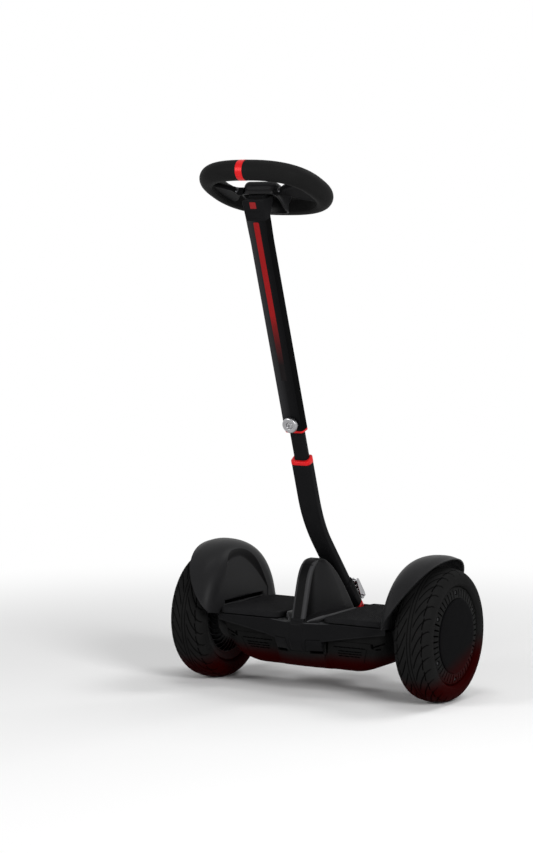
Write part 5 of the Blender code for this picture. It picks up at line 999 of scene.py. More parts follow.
def foot_mat(side, label):
    """A rubber mat: a rounded rectangle drawn over a square grid, with staggered dashes raised on its top.

    The square is pulled to the outline along rays, so that the grid follows the rounded corners."""
    width, depth = MAT_OUTER - MAT_INNER, 2 * MAT_HALF_DEPTH
    u = np.linspace(-1, 1, 170)[None, :]
    v = np.linspace(-1, 1, 232)[:, None]
    cx, cy = 2 * MAT_CORNER / width, 2 * MAT_CORNER / depth
    over_u = np.clip((np.abs(v) - (1 - cy)) / cy, 0, 1)
    limit = 1 - cx * (1 - np.sqrt(1 - over_u ** 2))
    x = u * limit * width / 2
    y = v * depth / 2 + 0 * u
    rim = np.minimum(limit * width / 2 - np.abs(x), depth / 2 - np.abs(y))
    lift = MAT_TOP - MAT_EDGE * (1 - np.sqrt(np.clip(1 - (1 - np.clip(rim / MAT_EDGE, 0, 1)) ** 2, 0, 1)))
    lean = math.radians(DASH_LEAN)
    along = side * x * math.cos(lean) + y * math.sin(lean)
    off = y * math.cos(lean) - side * x * math.sin(lean)
    row = np.floor(off / DASH_ROW)
    place = (along + 0.5 * DASH_PITCH * (row % 2)) % DASH_PITCH - 0.5 * DASH_PITCH
    dash = within(place, DASH_HALF, 0.9 * MM) * within(off % DASH_ROW - 0.5 * DASH_ROW, 0.8 * MM, 0.9 * MM)
    groove = 1 - dash
    field = ease((rim - FIELD_AT) / (1.5 * MM))
    border = within(rim - BORDER_AT, 0.4 * MM, 0.6 * MM)
    top_z = lift - DASH_RISE * groove * field - BORDER_DEPTH * border
    top = np.stack([x, y, top_z], -1)
    skirt = np.stack([x, y, MAT_LOW + 0 * x], -1)
    points = np.concatenate([top.reshape(-1, 3), skirt.reshape(-1, 3)])
    upper, quads = skin(top)
    count = len(upper)
    sides = wall_between(open_edges(quads, count), count)
    faces = np.concatenate([quads, quads[:, ::-1] + count, sides])
    middle = side * (MAT_INNER + MAT_OUTER) / 2
    # Painted shade in the grooves between the dashes
    recess = DASH_SHADE * groove * field
    piece(f"{label}_mat", [(points + (middle, AXLE_Y, 0), faces)], mat_rubber, f"{label}_mat",
          [f"{label}_foot_mat"], 50, recess)


# Hump

HUMP_PEAK, HUMP_FRONT, HUMP_DRAW, HUMP_REAR = -42.0 * MM, 70.0 * MM, 32.0 * MM, 116.5 * MM
BAND_HALF, CREASE, HUMP_CORNER = 15.0 * MM, 6.6 * MM, 6.0 * MM
VALLEY_AT, VALLEY_DEEP = 17.0 * MM, 3.4 * MM
HUMP_LIFT, TOP_ROUND, CHIN_CREASE = 0.3 * MM, 5.0 * MM, 2.4 * MM
# How strong the painted highlight along the hump's crease is
CREASE_HIGHLIGHT = 0.22


def hump_faces(share):
    """Y of the hump's front and rear at a share of its height: two flanks of a bell."""
    front = HUMP_PEAK - (HUMP_FRONT - HUMP_DRAW * share) * (1 - share ** 8.5) ** 0.46
    rear = HUMP_PEAK + HUMP_REAR * (1 - share) ** 0.58
    return front, rear


def hump():
    """The hump: half outlines at many heights, mirrored, with a flat band in front.

    From front to rear a half outline is the band, its crease as a quarter circle, a drawn-in
    valley, a flank that widens evenly, and a rounded rear corner."""
    share = 1 - (1 - np.linspace(0, 0.996, 90)) ** 1.7
    share = np.unique(np.concatenate([share, [0.9995]]))[:, None]
    z = DECK_TOP + HUMP_LIFT + (HUMP_TOP - DECK_TOP - HUMP_LIFT) * share
    front, rear = hump_faces(share)
    run = np.maximum(rear - front, 6 * MM)
    scale = np.clip(run / (46 * MM), 0, 1)
    near_top = np.clip((z - HUMP_TOP + TOP_ROUND) / TOP_ROUND, 0, 1)
    drawn = TOP_ROUND * (1 - np.sqrt(1 - near_top ** 2))
    band_half = BAND_HALF - drawn
    crease = CREASE * scale
    swell = 16.0 * MM + 10.0 * MM * (1 - share) - drawn
    turn = np.radians(np.linspace(0, 90, 9))[None, 1:]
    flat_x = (band_half - crease) * np.linspace(0, 1, 14)[None, :]
    crease_x = band_half - crease * (1 - np.sin(turn))
    crease_y = front + crease * (1 - np.cos(turn))
    back = np.linspace(0, 1, 80)[None, 1:] ** 1.1
    corner = HUMP_CORNER * scale
    length = run - crease - corner
    past = back * length
    valley = band_half - VALLEY_DEEP * scale
    to_valley = ease(past / ((VALLEY_AT - CREASE) * scale))
    slope = np.clip((past + crease - VALLEY_AT * scale) / (0.8 * run - VALLEY_AT * scale), 0, 1)
    slope = 0.5 * slope + 0.5 * ease(slope)
    side_x = band_half + (valley - band_half) * to_valley + (swell - valley) * slope
    side_y = front + crease + past
    corner_x = side_x[:, -1:] - corner * (1 - np.cos(turn))
    corner_y = side_y[:, -1:] + corner * np.sin(turn)
    rear_x = corner_x[:, -1:] * np.linspace(1, 0, 10)[None, 1:]
    right_x = np.concatenate([flat_x, crease_x, side_x, corner_x, rear_x], 1)
    rear_y = corner_y[:, -1:] + 0 * rear_x
    right_y = np.concatenate([front + 0 * flat_x, crease_y, side_y, corner_y, rear_y], 1)
    ring_x = np.concatenate([right_x, -right_x[:, -2:0:-1]], 1)
    ring_y = np.concatenate([right_y, right_y[:, -2:0:-1]], 1)
    rings = np.stack(np.broadcast_arrays(ring_x, ring_y + AXLE_Y, z), -1)
    seam = within(rings[..., 2] - HUMP_TOP + 9.5 * MM, 0.3 * MM, 0.5 * MM)
    seam = seam * (np.abs(ring_x) < BAND_HALF - 2 * MM) * (rings[..., 1] < AXLE_Y + HUMP_PEAK - 10 * MM)
    rings[..., 1] += 0.5 * MM * seam

    def by_column(columns, shares):
        """A share for each column of a half outline, drawn over both halves."""
        half = np.interp(np.arange(right_x.shape[1]), columns, shares)
        return np.concatenate([half, half[-2:0:-1]])[None, :]

    # Painted light on the hump: a painted highlight along the crease, painted shade on the band's front and
    # in the valley behind the crease, and a dark seam
    crease_highlight_share = by_column((12, 15, 20, 23), (0, 1, 1, 0))
    shade = by_column((0, 12, 14, 21, 25, 33, 42), (0.65, 0.65, 0.0, 0.0, 0.7, 0.7, 0.0))
    recess = np.maximum(0.7 * seam, shade * (crease_highlight_share < 0.05)) - CREASE_HIGHLIGHT * crease_highlight_share * scale
    recess = np.concatenate([np.zeros((1, ring_x.shape[1])), recess])
    piece("hump_shell", [capped(rings)], satin_shell, "frame", ["hump_cover"], 60, recess)


def front_band():
    """The band's lower part on the chin: it follows the face down and ends at the chin's lower edge."""
    z = np.linspace(CHIN_LOW + 0.2 * MM, DECK_TOP + 6.0 * MM, 56)
    face = apron_front(np.zeros_like(z), np.minimum(z, DECK_TOP - DECK_EDGE))
    top = ease((z - DECK_TOP + 6 * MM) / (12 * MM))
    face = face + top * (hump_faces(0.05)[0] - face)
    proud, turn = 1.2 * MM, np.radians(np.linspace(0, 90, 7))
    rings = []
    for height, front in zip(z, face):
        fall = float(np.clip((DECK_TOP + 3 * MM - height) / (20 * MM), 0, 1))
        half, crease = BAND_HALF - 1.6 * MM * fall, CREASE + (CHIN_CREASE - CREASE) * fall
        side_x = half - crease * (1 - np.sin(turn))
        side_y = front - proud + crease * (1 - np.cos(turn))
        flat = np.column_stack([np.linspace(0, half - crease, 10)[:-1], np.full(9, front - proud)])
        right = np.concatenate([flat, np.column_stack([side_x, side_y]), [(half, front + 7 * MM)]])
        rings.append(level(np.concatenate([right, right[::-1][:-1] * (-1, 1)]), height, 0, AXLE_Y))
    piece("chin_band", [capped(rings)], deck_abs_painted_shade, "frame", ["front_band"], 50)


def power_button():
    """The round button in the band: a shallow dished disc."""
    low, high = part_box("power_button")
    axis = -np.array(JOINTS["button_press"]["axis"])
    corners = mm([(0, -3.6), (4.4, -3.6), (4.9, 0.1), (4.5, 0.5), (3.8, 0.35), (0, 0.0)])
    centre = np.array((low + high) / 2) + axis * 2.4 * MM
    piece("button_cap", [turned(corners, 48, centre, axis)], matt_plastic, "button",
          ["power_button"], 50)


# Column

LEG_FOOT, BEND_RADIUS = 247.0 * MM, 280.0 * MM
LEG_SECTION, TUBE_SECTION = (37.0 * MM, 23.5 * MM, 7.5 * MM), (40.0 * MM, 24.5 * MM, 7.5 * MM)
RING_HEIGHT, CLAMP_HEIGHT = 15.5 * MM, 64.0 * MM
COLLAR_TOP, COLLAR_HEIGHT, COLLAR_SLANT = 54.0 * MM, 13.5 * MM, 6.0 * MM
INNER_BORE = (29.6 * MM, 17.6 * MM, 6.0 * MM)
BORE_SHIFT = 1.8 * MM
PLUG_BORE = (29.6 * MM, 18.6 * MM, 5.0 * MM)


def base_ring():
    """The red ring at the column's foot, with four small set screws that show as dark marks."""
    ring = sleeve((40.5 * MM, 27.2 * MM, 8.5 * MM), PLUG_BORE, 0.0, RING_HEIGHT, 1.2 * MM, count=96)
    piece("red_base_ring", [moved(ring, LEG, LEG_LEAN)], red_anodised, "steering_base",
          ["base_ring"], 40)
    marks = []
    for side in (1, -1):
        for offset in (-4.0 * MM, 4.0 * MM):
            corners = mm([(0, -0.6), (1.5, -0.6), (1.5, 0.15), (1.0, 0.25), (0, 0.1)])
            centre = placed((side * 20.25 * MM, offset, 8.0 * MM), LEG, LEG_LEAN)
            marks.append(turned(corners, 20, centre, (side, 0, 0)))
    piece("base_ring_screws", marks, ground_dark, "steering_base", sharp=50)


def clamp_collar():
    """The clamp round the leg, with a ring near its top and its lug."""
    low = RING_HEIGHT + 0.3 * MM
    bore = (LEG_SECTION[0] + 0.6 * MM, LEG_SECTION[1] + 0.6 * MM, LEG_SECTION[2])
    collar = sleeve((41.6 * MM, 28.6 * MM, 10.0 * MM), bore, low, low + CLAMP_HEIGHT, 1.5 * MM, count=96)
    top_ring = sleeve((42.3 * MM, 29.3 * MM, 10.3 * MM), (41.0 * MM, 28.0 * MM, 9.8 * MM),
                      low + CLAMP_HEIGHT - 9 * MM, low + CLAMP_HEIGHT - 1.5 * MM, 0.6 * MM, count=96)
    lug = []
    side = [(12.5, 31), (12.5, low / MM + 4)]
    for angle in np.linspace(-130, 50, 13):
        turn = math.radians(angle)
        side.append((35.2 + 6.4 * math.cos(turn), 1.0 + 6.4 * math.sin(turn)))
    side.append((32.0, 13.8))
    outline = np.array(side) * MM
    middle = outline.mean(0)
    for x, inset in ((-3.7, 0.98), (-3.4, 1.0), (3.4, 1.0), (3.7, 0.98)):
        flat = middle + (outline - middle) * inset
        lug.append(np.column_stack([np.full(len(flat), x * MM), flat]))
    shapes = [moved(collar, LEG, LEG_LEAN), moved(top_ring, LEG, LEG_LEAN),
              moved(capped(np.array(lug)), LEG, LEG_LEAN)]
    piece("clamp_casting", shapes, powder_coat, "steering_base", ["clamp_collar"], 40)


LEVER_TOP, LEVER_HEAD, LEVER_TIP, LEVER_OUT = 42.0 * MM, 8.4 * MM, 4.6 * MM, 4.5 * MM


def lever():
    """The silver lever: two cheeks with a round foot, crossbars between them, and dark windows."""
    foot = np.radians(np.linspace(180, 360, 22))
    tip = np.radians(np.linspace(0, 180, 16))
    low_round = LEVER_HEAD * np.column_stack([np.cos(foot), np.sin(foot)])
    high_round = LEVER_TIP * np.column_stack([np.cos(tip), np.sin(tip)])
    outline = np.concatenate([low_round, high_round + (LEVER_OUT, LEVER_TOP - LEVER_TIP)])
    middle = outline.mean(0)
    shapes = []
    for side in (1, -1):
        rings = []
        for x, inset in ((4.1, 0.97), (4.3, 0.995), (5.7, 0.995), (6.1, 0.96)):
            flat = middle + (outline - middle) * inset
            rings.append(np.column_stack([np.full(len(flat), side * x * MM), flat]))
        shapes.append(capped(np.array(rings)))
    for low, high, out in ((9.5, 12.0, -4.6), (18.0, 20.5, -3.0), (26.5, 29.0, -1.2), (35.5, 41.0, 0.6)):
        bar = slab(9.4 * MM, 2.2 * MM, 0.9 * MM, low * MM, high * MM, 0.5 * MM, 40)
        shapes.append((bar[0] + (0, out * MM, 0), bar[1]))
    pin = LEVER_PIN
    shapes = [moved((points + pin, quads), LEG, LEG_LEAN) for points, quads in shapes]
    piece("lever_stamping", shapes, bright_aluminium, "lever", ["release_lever"], 40)
    inner = slab(8.0 * MM, 3.2 * MM, 1.0 * MM, 9 * MM, 40 * MM, 0.6 * MM, 40)
    inner = moved((inner[0] + pin + (0, 3.4 * MM, 0), inner[1]), LEG, LEG_LEAN)
    piece("lever_insert", [inner], pit_satin, "lever")
    dot = turned(mm([(0, -0.4), (1.5, -0.4), (1.5, 0.2), (1.1, 0.5), (0, 0.55)]), 24,
                 placed(pin + (0, 7.4 * MM, 1.0 * MM), LEG, LEG_LEAN), placed((0, 1, 0), 0, LEG_LEAN))
    piece("lever_catch", [dot], red_anodised, "lever")


def leg_point(height):
    """Y and Z on the leg's middle line in the world, counted up from the base ring's foot."""
    return placed((0, 0, height), LEG, LEG_LEAN)[1:]


def lower_tube():
    """The bent tube: a rounded rectangle carried up the leg, round the bend and up the column."""
    low_lean, high_lean = math.radians(LEG_LEAN), math.radians(COLUMN_LEAN)
    tangent = BEND_RADIUS * math.tan((low_lean - high_lean) / 2)
    start = leg_point(LEG_FOOT - tangent)
    centre = start + BEND_RADIUS * np.array((math.cos(low_lean), math.sin(low_lean)))
    stations = [(leg_point(RING_HEIGHT + 0.3 * MM), low_lean, 0.0)]
    stations += [(leg_point(height), low_lean, 0.0)
                 for height in np.linspace(60 * MM, LEG_FOOT - tangent - 4 * MM, 6)]
    for share in np.linspace(0, 1, 26):
        turn = low_lean + (high_lean - low_lean) * share
        point = centre - BEND_RADIUS * np.array((math.cos(turn), math.sin(turn)))
        stations.append((point, turn, share))
    end = -COLLAR_TOP - COLLAR_HEIGHT - 0.3 * MM
    bend_end = stations[-1][0]
    last = placed((0, 0, end), COLUMN, COLUMN_LEAN)[1:]
    for share in (0.35, 0.7, 1.0):
        stations.append((bend_end + (last - bend_end) * share, high_lean, 1.0))
    rings = []
    for point, turn, share in stations:
        section = [a + (b - a) * ease(share) for a, b in zip(LEG_SECTION, TUBE_SECTION)]
        outline = rounded(*section, 96)
        rings.append(np.column_stack([outline[:, 0], point[0] + outline[:, 1] * math.cos(turn),
                                      point[1] + outline[:, 1] * math.sin(turn)]))
    bore = rounded(*INNER_BORE, 96)
    deep = end - 86 * MM
    inner = [placed(level(bore, z, 0, BORE_SHIFT), COLUMN, COLUMN_LEAN) for z in (end, deep)]
    middle = np.repeat(inner[-1].mean(0, keepdims=True), len(bore), 0)
    plug = [placed(level(rounded(29.0 * MM, 18.0 * MM, 5 * MM, 96), z), LEG, LEG_LEAN)
            for z in (-24.2 * MM, RING_HEIGHT + 0.3 * MM)]
    foot = np.repeat(plug[0].mean(0, keepdims=True), len(bore), 0)
    grid = np.array([foot, *plug, *rings, *inner, middle])
    piece("bent_tube", [skin(grid, around=True)], powder_coat, "column", ["lower_tube"],
          40)
    collar = sleeve((40.6 * MM, 25.1 * MM, 7.6 * MM), INNER_BORE, -COLLAR_TOP - COLLAR_HEIGHT, -COLLAR_TOP,
                    1.0 * MM, BORE_SHIFT, COLLAR_SLANT, 96)
    piece("red_tube_collar", [moved(collar, COLUMN, COLUMN_LEAN)], red_anodised, "column",
          ["red_collar"], 40)


UPPER_SECTION, FLARE_WIDTH = (40.0 * MM, 24.0 * MM, 6.0 * MM), 42.5 * MM
FACE_ROUND, BACK_ROUND = 3.0 * MM, 11.0 * MM     # the extrusion's corners in front and behind
UPPER_LENGTH, FLARE_START, TRIM_HEIGHT = 423.5 * MM, 375.0 * MM, 4.0 * MM
STRIP_WIDTH, STRIP_TOP, STRIP_BOTTOM = 11.8 * MM, 420.5 * MM, 107.0 * MM
FACE_LIGHT_AND_SHADE, SIDE_SHADE = ((-1, 0, 1), (-0.19, -0.02, 0.40)), 0.7     # painted highlight and painted shade across the front, and painted shade on the side beside it
TUBE_BORE = (29.8 * MM, 17.8 * MM, 6 * MM)
FRONT = -12.0 * MM


def column_outline(width, depth, count=120, groove=0.35 * MM):
    """The extrusion's outline: small corners in front, large ones behind, and a fine groove in each side."""
    corners = [(width / 2, 0.0), (width / 2, depth / 2), (-width / 2, depth / 2), (-width / 2, -depth / 2),
               (width / 2, -depth / 2)]
    radii = np.array((0.0, BACK_ROUND, BACK_ROUND, FACE_ROUND, FACE_ROUND))
    line = eased(corners, radii, 12)
    outline = even(np.concatenate([line, line[:1]]), count + 1)[:-1]
    side = np.abs(np.abs(outline[:, 0]) - width / 2) < 0.3 * MM
    cut = side * within(outline[:, 1] + depth / 2 - FACE_ROUND - 1.6 * MM, 0.35 * MM, 0.5 * MM)
    outline[:, 0] -= np.sign(outline[:, 0]) * groove * cut
    return outline


def upper_tube():
    """The upper tube with a slight flare at its top and the round seat of the clamp knob.

    Its front face has painted light: a painted highlight towards the rider's right, painted shade towards the
    left, and painted shade on its left side."""
    foot = TRIM_HEIGHT + 0.3 * MM
    heights = np.concatenate([[foot, foot + 0.4 * MM], np.linspace(0.03, FLARE_START, 16),
                              np.linspace(FLARE_START, UPPER_LENGTH, 8)[1:]])
    rings, painted_face_light = [], []
    for z in heights:
        share = ease((z - FLARE_START) / (UPPER_LENGTH - FLARE_START))
        width = UPPER_SECTION[0] + (FLARE_WIDTH - UPPER_SECTION[0]) * share
        inset = 0.4 * MM if z == foot else 0.0
        rings.append(level(column_outline(width - 2 * inset, UPPER_SECTION[1] - 2 * inset), z))
        across = rings[-1][:, 0] / (width / 2)
        flat = rings[-1][:, 1] < FRONT + 1.0 * MM
        painted_face_light.append(np.where(flat, np.interp(across, *FACE_LIGHT_AND_SHADE), SIDE_SHADE * ease(across)))
    bore = rounded(*TUBE_BORE, 120)
    inner = [level(bore, z, 0, BORE_SHIFT) for z in (UPPER_LENGTH, foot)]
    tube = skin(np.array(rings + inner), around=True, along=True)
    seat = mm([(0, -3.0), (11.4, -3.0), (11.4, 1.4), (10.9, 2.0), (6.0, 2.0), (6.0, 1.2),
               (0, 1.2)])
    base = turned(seat, 64, placed((0, FRONT, KNOB_SEAT[2]), COLUMN, COLUMN_LEAN),
                  placed((0, -1, 0), 0, COLUMN_LEAN))
    piece("upper_extrusion", [moved(tube, COLUMN, COLUMN_LEAN), base], powder_coat, "handle",
          ["upper_tube"], 40, np.array(painted_face_light))
    trim = sleeve(UPPER_SECTION, TUBE_BORE, 0.0, TRIM_HEIGHT, 0.5 * MM, BORE_SHIFT, count=96)
    piece("red_trim_ring", [moved(trim, COLUMN, COLUMN_LEAN)], red_anodised, "handle",
          ["trim_ring"], 40)


def inlay(width, low, high, depth, face, corner):
    """A thin bar in the column's front with rounded top corners, given in the column's frame."""
    turn = np.radians(np.linspace(0, 90, 8))
    right = np.column_stack([width / 2 - corner * (1 - np.cos(turn)), high - corner * (1 - np.sin(turn))])
    right = np.concatenate([[(width / 2, low)], right])
    outline = np.concatenate([right, right[::-1] * (-1, 1)])
    rings = []
    for y, inset in ((face + depth, 0.0), (face + 0.15 * MM, 0.0), (face, 0.15 * MM)):
        middle = np.array((0, (low + high) / 2))
        flat = outline - np.sign(outline - middle) * inset
        rings.append(np.column_stack([flat[:, 0], np.full(len(flat), y), flat[:, 1]]))
    return moved(capped(np.array(rings)), COLUMN, COLUMN_LEAN)


def light_strip():
    """The long light strip in the column's front, and the short red mark on the head above it."""
    strip = inlay(STRIP_WIDTH, STRIP_BOTTOM, STRIP_TOP, 1.0 * MM, FRONT - 0.2 * MM, 2.5 * MM)
    piece("strip_diffuser", [strip], red_diffuser, "handle", ["light_strip"], 40)
    piece("head_mark", [inlay(13.0 * MM, 447.0 * MM, 459.5 * MM, 1.0 * MM, FRONT - 0.25 * MM, 1.0 * MM)],
          mark_red, "handle")
    ledges = []
    for low in (427.4 * MM, 440.6 * MM):
        ledges.append(inlay(25.0 * MM, low, low + 1.1 * MM, 1.0 * MM, FRONT - 0.5 * MM, 0.5 * MM))
    piece("head_ledges", ledges, powder_coat, "handle", sharp=40)


HEAD_TOP, HEAD_WIDTH, HEAD_REAR = 461.0 * MM, 45.6 * MM, 34.0 * MM


def column_head():
    """The head: flat in front, swelling back to the hub; a dark gap above, then the neck."""
    foot = UPPER_LENGTH + 0.3 * MM
    rings = []
    for share in np.linspace(0, 1, 16):
        z = foot + (HEAD_TOP - foot) * share
        width = FLARE_WIDTH + (HEAD_WIDTH - FLARE_WIDTH) * ease(share)
        rear = 12.0 * MM + (HEAD_REAR - 12.0 * MM) * ease(share) ** 1.1
        outline = column_outline(width, rear - FRONT)
        rings.append(level(outline, z, 0, (rear + FRONT) / 2))
    top = column_outline(HEAD_WIDTH - 1.4 * MM, HEAD_REAR - FRONT - 1.4 * MM)
    rings.append(level(top, HEAD_TOP + 0.5 * MM, 0, (HEAD_REAR + FRONT) / 2))
    neck = rounded(34 * MM, 30.5 * MM, 5 * MM, 120)
    rings += [level(neck, HEAD_TOP + 0.5 * MM, 0, 17.2 * MM), level(neck, 466 * MM, 0, 17.2 * MM)]
    piece("head_casting", [moved(capped(np.array(rings)), COLUMN, COLUMN_LEAN)], powder_coat, "handle",
          ["column_head"], 40)


def clamp_knob():
    """The bright turned knob: a dished face with a rounded edge, and its screw."""
    axis = placed((0, -1, 0), 0, COLUMN_LEAN)
    origin = np.array(JOINTS["knob_turn"]["pos_m"])
    corners = mm([(4.3, 6.5), (6.4, 6.5), (6.4, 9.0), (9.5, 9.3), (12.2, 9.8), (14.4, 9.2), (15.5, 7.4),
                  (15.5, 1.4), (14.6, 0.0), (4.3, 0.0)])
    profile = eased(corners, 0.8 * MM, 3)
    angle = circle(180)[None, :]
    radius, height = profile[:, :1], profile[:, 1:]
    knurl = 0.35 * MM * (radius > 14.8 * MM) * (0.5 + 0.5 * np.cos(30 * angle))
    radius = radius - knurl
    local = np.stack(np.broadcast_arrays(radius * np.cos(angle), radius * np.sin(angle), height), -1)
    turn = np.array(Vector(axis).to_track_quat("Z", "Y").to_matrix())
    piece("knob_turning", [skin(local @ turn.T + origin, around=True, along=True)], turned_aluminium, "knob",
          ["clamp_knob"], 35)
    screw = mm([(0, 6.6), (2.4, 6.6), (2.6, 9.0), (5.4, 9.0), (6.0, 8.4), (6.0, 6.8), (4.0, 6.8),
                (4.0, -5.0), (0, -5.0)])
    piece("knob_cap_screw", [turned(screw, 48, origin, axis)], ground_steel, "knob",
          ["knob_screw"], 40)


# Steering ring

RING_HALF_WIDTH, RING_HALF_DEPTH, RING_SQUARENESS, RING_TUBE = 105.6 * MM, 85.6 * MM, 2.55, 19.0 * MM
CREASE_MIDDLE, CREASE_HALF = -152.0, 36.0       # the flat on the grip's inner lower side, in degrees


def ring_frame(turn):
    """The ring's middle line, a superellipse, and the direction out from it, at an array of turns."""
    def at(angle):
        power = 2 / RING_SQUARENESS
        c, s = np.cos(angle), np.sin(angle)
        return np.stack([RING_HALF_WIDTH * np.sign(c) * np.abs(c) ** power,
                         RING_HALF_DEPTH * np.sign(s) * np.abs(s) ** power, np.zeros_like(angle)], -1)
    along = at(turn + 0.002) - at(turn - 0.002)
    along /= np.linalg.norm(along, axis=-1, keepdims=True)
    return at(turn), np.cross(along, (0, 0, 1))


def grip_radius(angle, extra=0.0):
    """The grip's radius: round, but flat between two creases on its inner lower side."""
    off = (np.degrees(angle) - CREASE_MIDDLE + 180) % 360 - 180
    flat = math.cos(math.radians(CREASE_HALF)) / np.cos(np.radians(np.clip(off, -80, 80)))
    return (RING_TUBE + extra) * np.where(np.abs(off) < CREASE_HALF, np.minimum(flat, 1.0), 1.0)


def grip(turn, angle, extra=0.0):
    """Points of the grip's skin for turns [rows, 1] round the ring and angles [1, columns] round the tube."""
    point, out = ring_frame(turn[:, 0])
    radius = grip_radius(angle, extra)
    across = out[:, None, :] * (radius * np.cos(angle))[..., None]
    up = np.array((0, 0, 1.0)) * (radius * np.sin(angle))[..., None]
    return point[:, None, :] + across + up


def steering_ring():
    """The thick soft grip and the red mark round its front."""
    fine = np.linspace(0, 2 * math.pi, 2001)
    middle = ring_frame(fine)[0]
    length = np.concatenate([[0], np.cumsum(np.linalg.norm(np.diff(middle, axis=0), axis=1))])
    turn = np.interp(np.linspace(0, length[-1], 241)[:-1], length, fine)[:, None]
    edges = np.radians([CREASE_MIDDLE - CREASE_HALF, CREASE_MIDDLE + CREASE_HALF]) % (2 * math.pi)
    angle = np.unique(np.concatenate([np.linspace(0, 2 * math.pi, 61)[:-1], edges]))[None, :]
    piece("ring_grip", [moved(skin(grip(turn, angle), around=True, along=True), RING, RING_LEAN)], soft_grip,
          "handle", ["steering_ring"], 30)
    half = 3.3 * MM / RING_HALF_DEPTH * 0.80
    sector = (math.radians(270) + np.linspace(-half, half, 14))[:, None]
    outer, inner = grip(sector, angle, 0.2 * MM), grip(sector[::-1], angle, -0.4 * MM)
    band = skin(np.concatenate([outer, inner]), around=True, along=True)
    piece("ring_mark", [moved(band, RING, RING_LEAN)], red_anodised, "handle",
          ["steering_ring_mark"], 40)


HUB_HALF, HUB_FRONT, HUB_REAR, HUB_TOP = 36.0 * MM, -26.2 * MM, 44.0 * MM, 4.5 * MM
HUB_LIP_FRONT, HUB_LIP_REAR = -22.5 * MM, -34.0 * MM


def hub_outline(inset, count=140):
    """A level outline of the hub cover."""
    outline = rounded(2 * (HUB_HALF - inset), HUB_REAR - HUB_FRONT - 2 * inset, 12 * MM - inset * 0.8, count)
    return outline + (0, (HUB_FRONT + HUB_REAR) / 2)


def hub_cover():
    """The bell-shaped cover: a soft shoulder, sides that flare, and a lip that falls to the rear."""
    def lip(outline):
        share = (outline[:, 1] - HUB_FRONT) / (HUB_REAR - HUB_FRONT)
        return HUB_LIP_FRONT + (HUB_LIP_REAR - HUB_LIP_FRONT) * ease(share * 1.5 - 0.25)

    def wall(inset, thickness):
        rings = []
        for share in np.linspace(0, 1, 16):
            waist = 2.4 * MM * math.sin(math.pi * share) ** 1.5
            outline = hub_outline(inset + waist)
            low = lip(outline)
            rings.append(level(outline, low + (-6 * MM - low) * share))
        for turn in np.radians(np.linspace(8, 90, 12)):
            outline = hub_outline(inset + 7.5 * MM * (1 - math.cos(turn)))
            rings.append(level(outline, -6 * MM + (HUB_TOP - thickness + 6 * MM) * math.sin(turn)))
        return rings

    outer = wall(0.0, 0.0)
    inner = wall(2.4 * MM, 2.4 * MM)[::-1]
    top = np.repeat(outer[-1].mean(0, keepdims=True), len(outer[0]), 0)
    under = np.repeat(inner[0].mean(0, keepdims=True), len(outer[0]), 0)
    ledge = 0.6 * MM
    lip_outer = [level(hub_outline(-ledge), lip(hub_outline(-ledge)) - 0.2 * MM),
                 level(hub_outline(-ledge), lip(hub_outline(-ledge)) + 1.2 * MM)]
    grid = np.array([under, *inner, *lip_outer, *outer[1:], top])
    piece("hub_bell", [moved(skin(grid, around=True), RING, RING_LEAN)], satin_shell, "handle",
          ["hub_cover"], 40)
    centre = (0, (HUB_FRONT + HUB_REAR) / 2, 0)
    lens = slab(44 * MM, 34 * MM, 6 * MM, HUB_TOP - 2.0 * MM, HUB_TOP + 1.0 * MM, 0.8 * MM, 96)
    piece("display_window", [moved((lens[0] + centre, lens[1]), RING, RING_LEAN)], smoked_lens, "handle",
          ["display_lens"], 40)


BOSS_Y, BOSS_Z = -17.6 * MM, -14.1 * MM


def spokes():
    """The cross-piece's round bolted ends, and the webs that broaden from them into the grip."""
    stations = mm([(33.0, -17.6, -14.1, 15.5, 15.5, 7.4), (45.5, -17.6, -14.1, 15.5, 15.5, 7.4),
                   (48.0, -17.2, -13.6, 22.0, 12.0, 5.4), (56.0, -14.5, -12.0, 40.0, 10.2, 4.8),
                   (70.0, -9.0, -10.5, 66.0, 10.0, 4.8), (84.0, -5.0, -9.0, 84.0, 10.0, 4.8),
                   (96.0, -4.0, -8.0, 92.0, 10.0, 4.8)])
    for side, label in ((1, "left"), (-1, "right")):
        at = np.linspace(0, len(stations) - 1, 46)
        rings = []
        for value in at:
            x, y, z, depth, height, radius = [np.interp(value, np.arange(len(stations)), column)
                                              for column in stations.T]
            outline = rounded(depth, height, radius, 64)
            waist = 1 - 0.10 * within(outline[:, 0], depth * 0.28, depth * 0.2) * (x > 52 * MM)
            rings.append(np.column_stack([np.full(len(outline), side * x), y + outline[:, 0],
                                          z + outline[:, 1] * waist]))
        piece(f"{label}_spoke_casting", [moved(capped(np.array(rings)), RING, RING_LEAN)], cast_alloy_plain,
              "handle", [f"{label}_spoke"], 40)
        centre = placed((side * 46.2 * MM, BOSS_Y - 8.2 * MM, BOSS_Z), RING, RING_LEAN)
        axis = placed((0, -1, 0), 0, RING_LEAN)
        washer = mm([(2.2, -1.5), (4.6, -1.5), (4.6, 0.7), (4.2, 1.0), (2.2, 1.0)])
        head = mm([(0, 0.8), (1.4, 0.8), (1.6, 2.0), (2.7, 2.0), (3.1, 1.6), (3.2, 0.4), (0, 0.4)])
        for part, profile in (("washer", washer), ("bolt", head)):
            piece(f"{label}_boss_{part}", [turned(profile, 36, centre, axis)], ground_dark, "handle",
                  sharp=40)


# Rear fittings

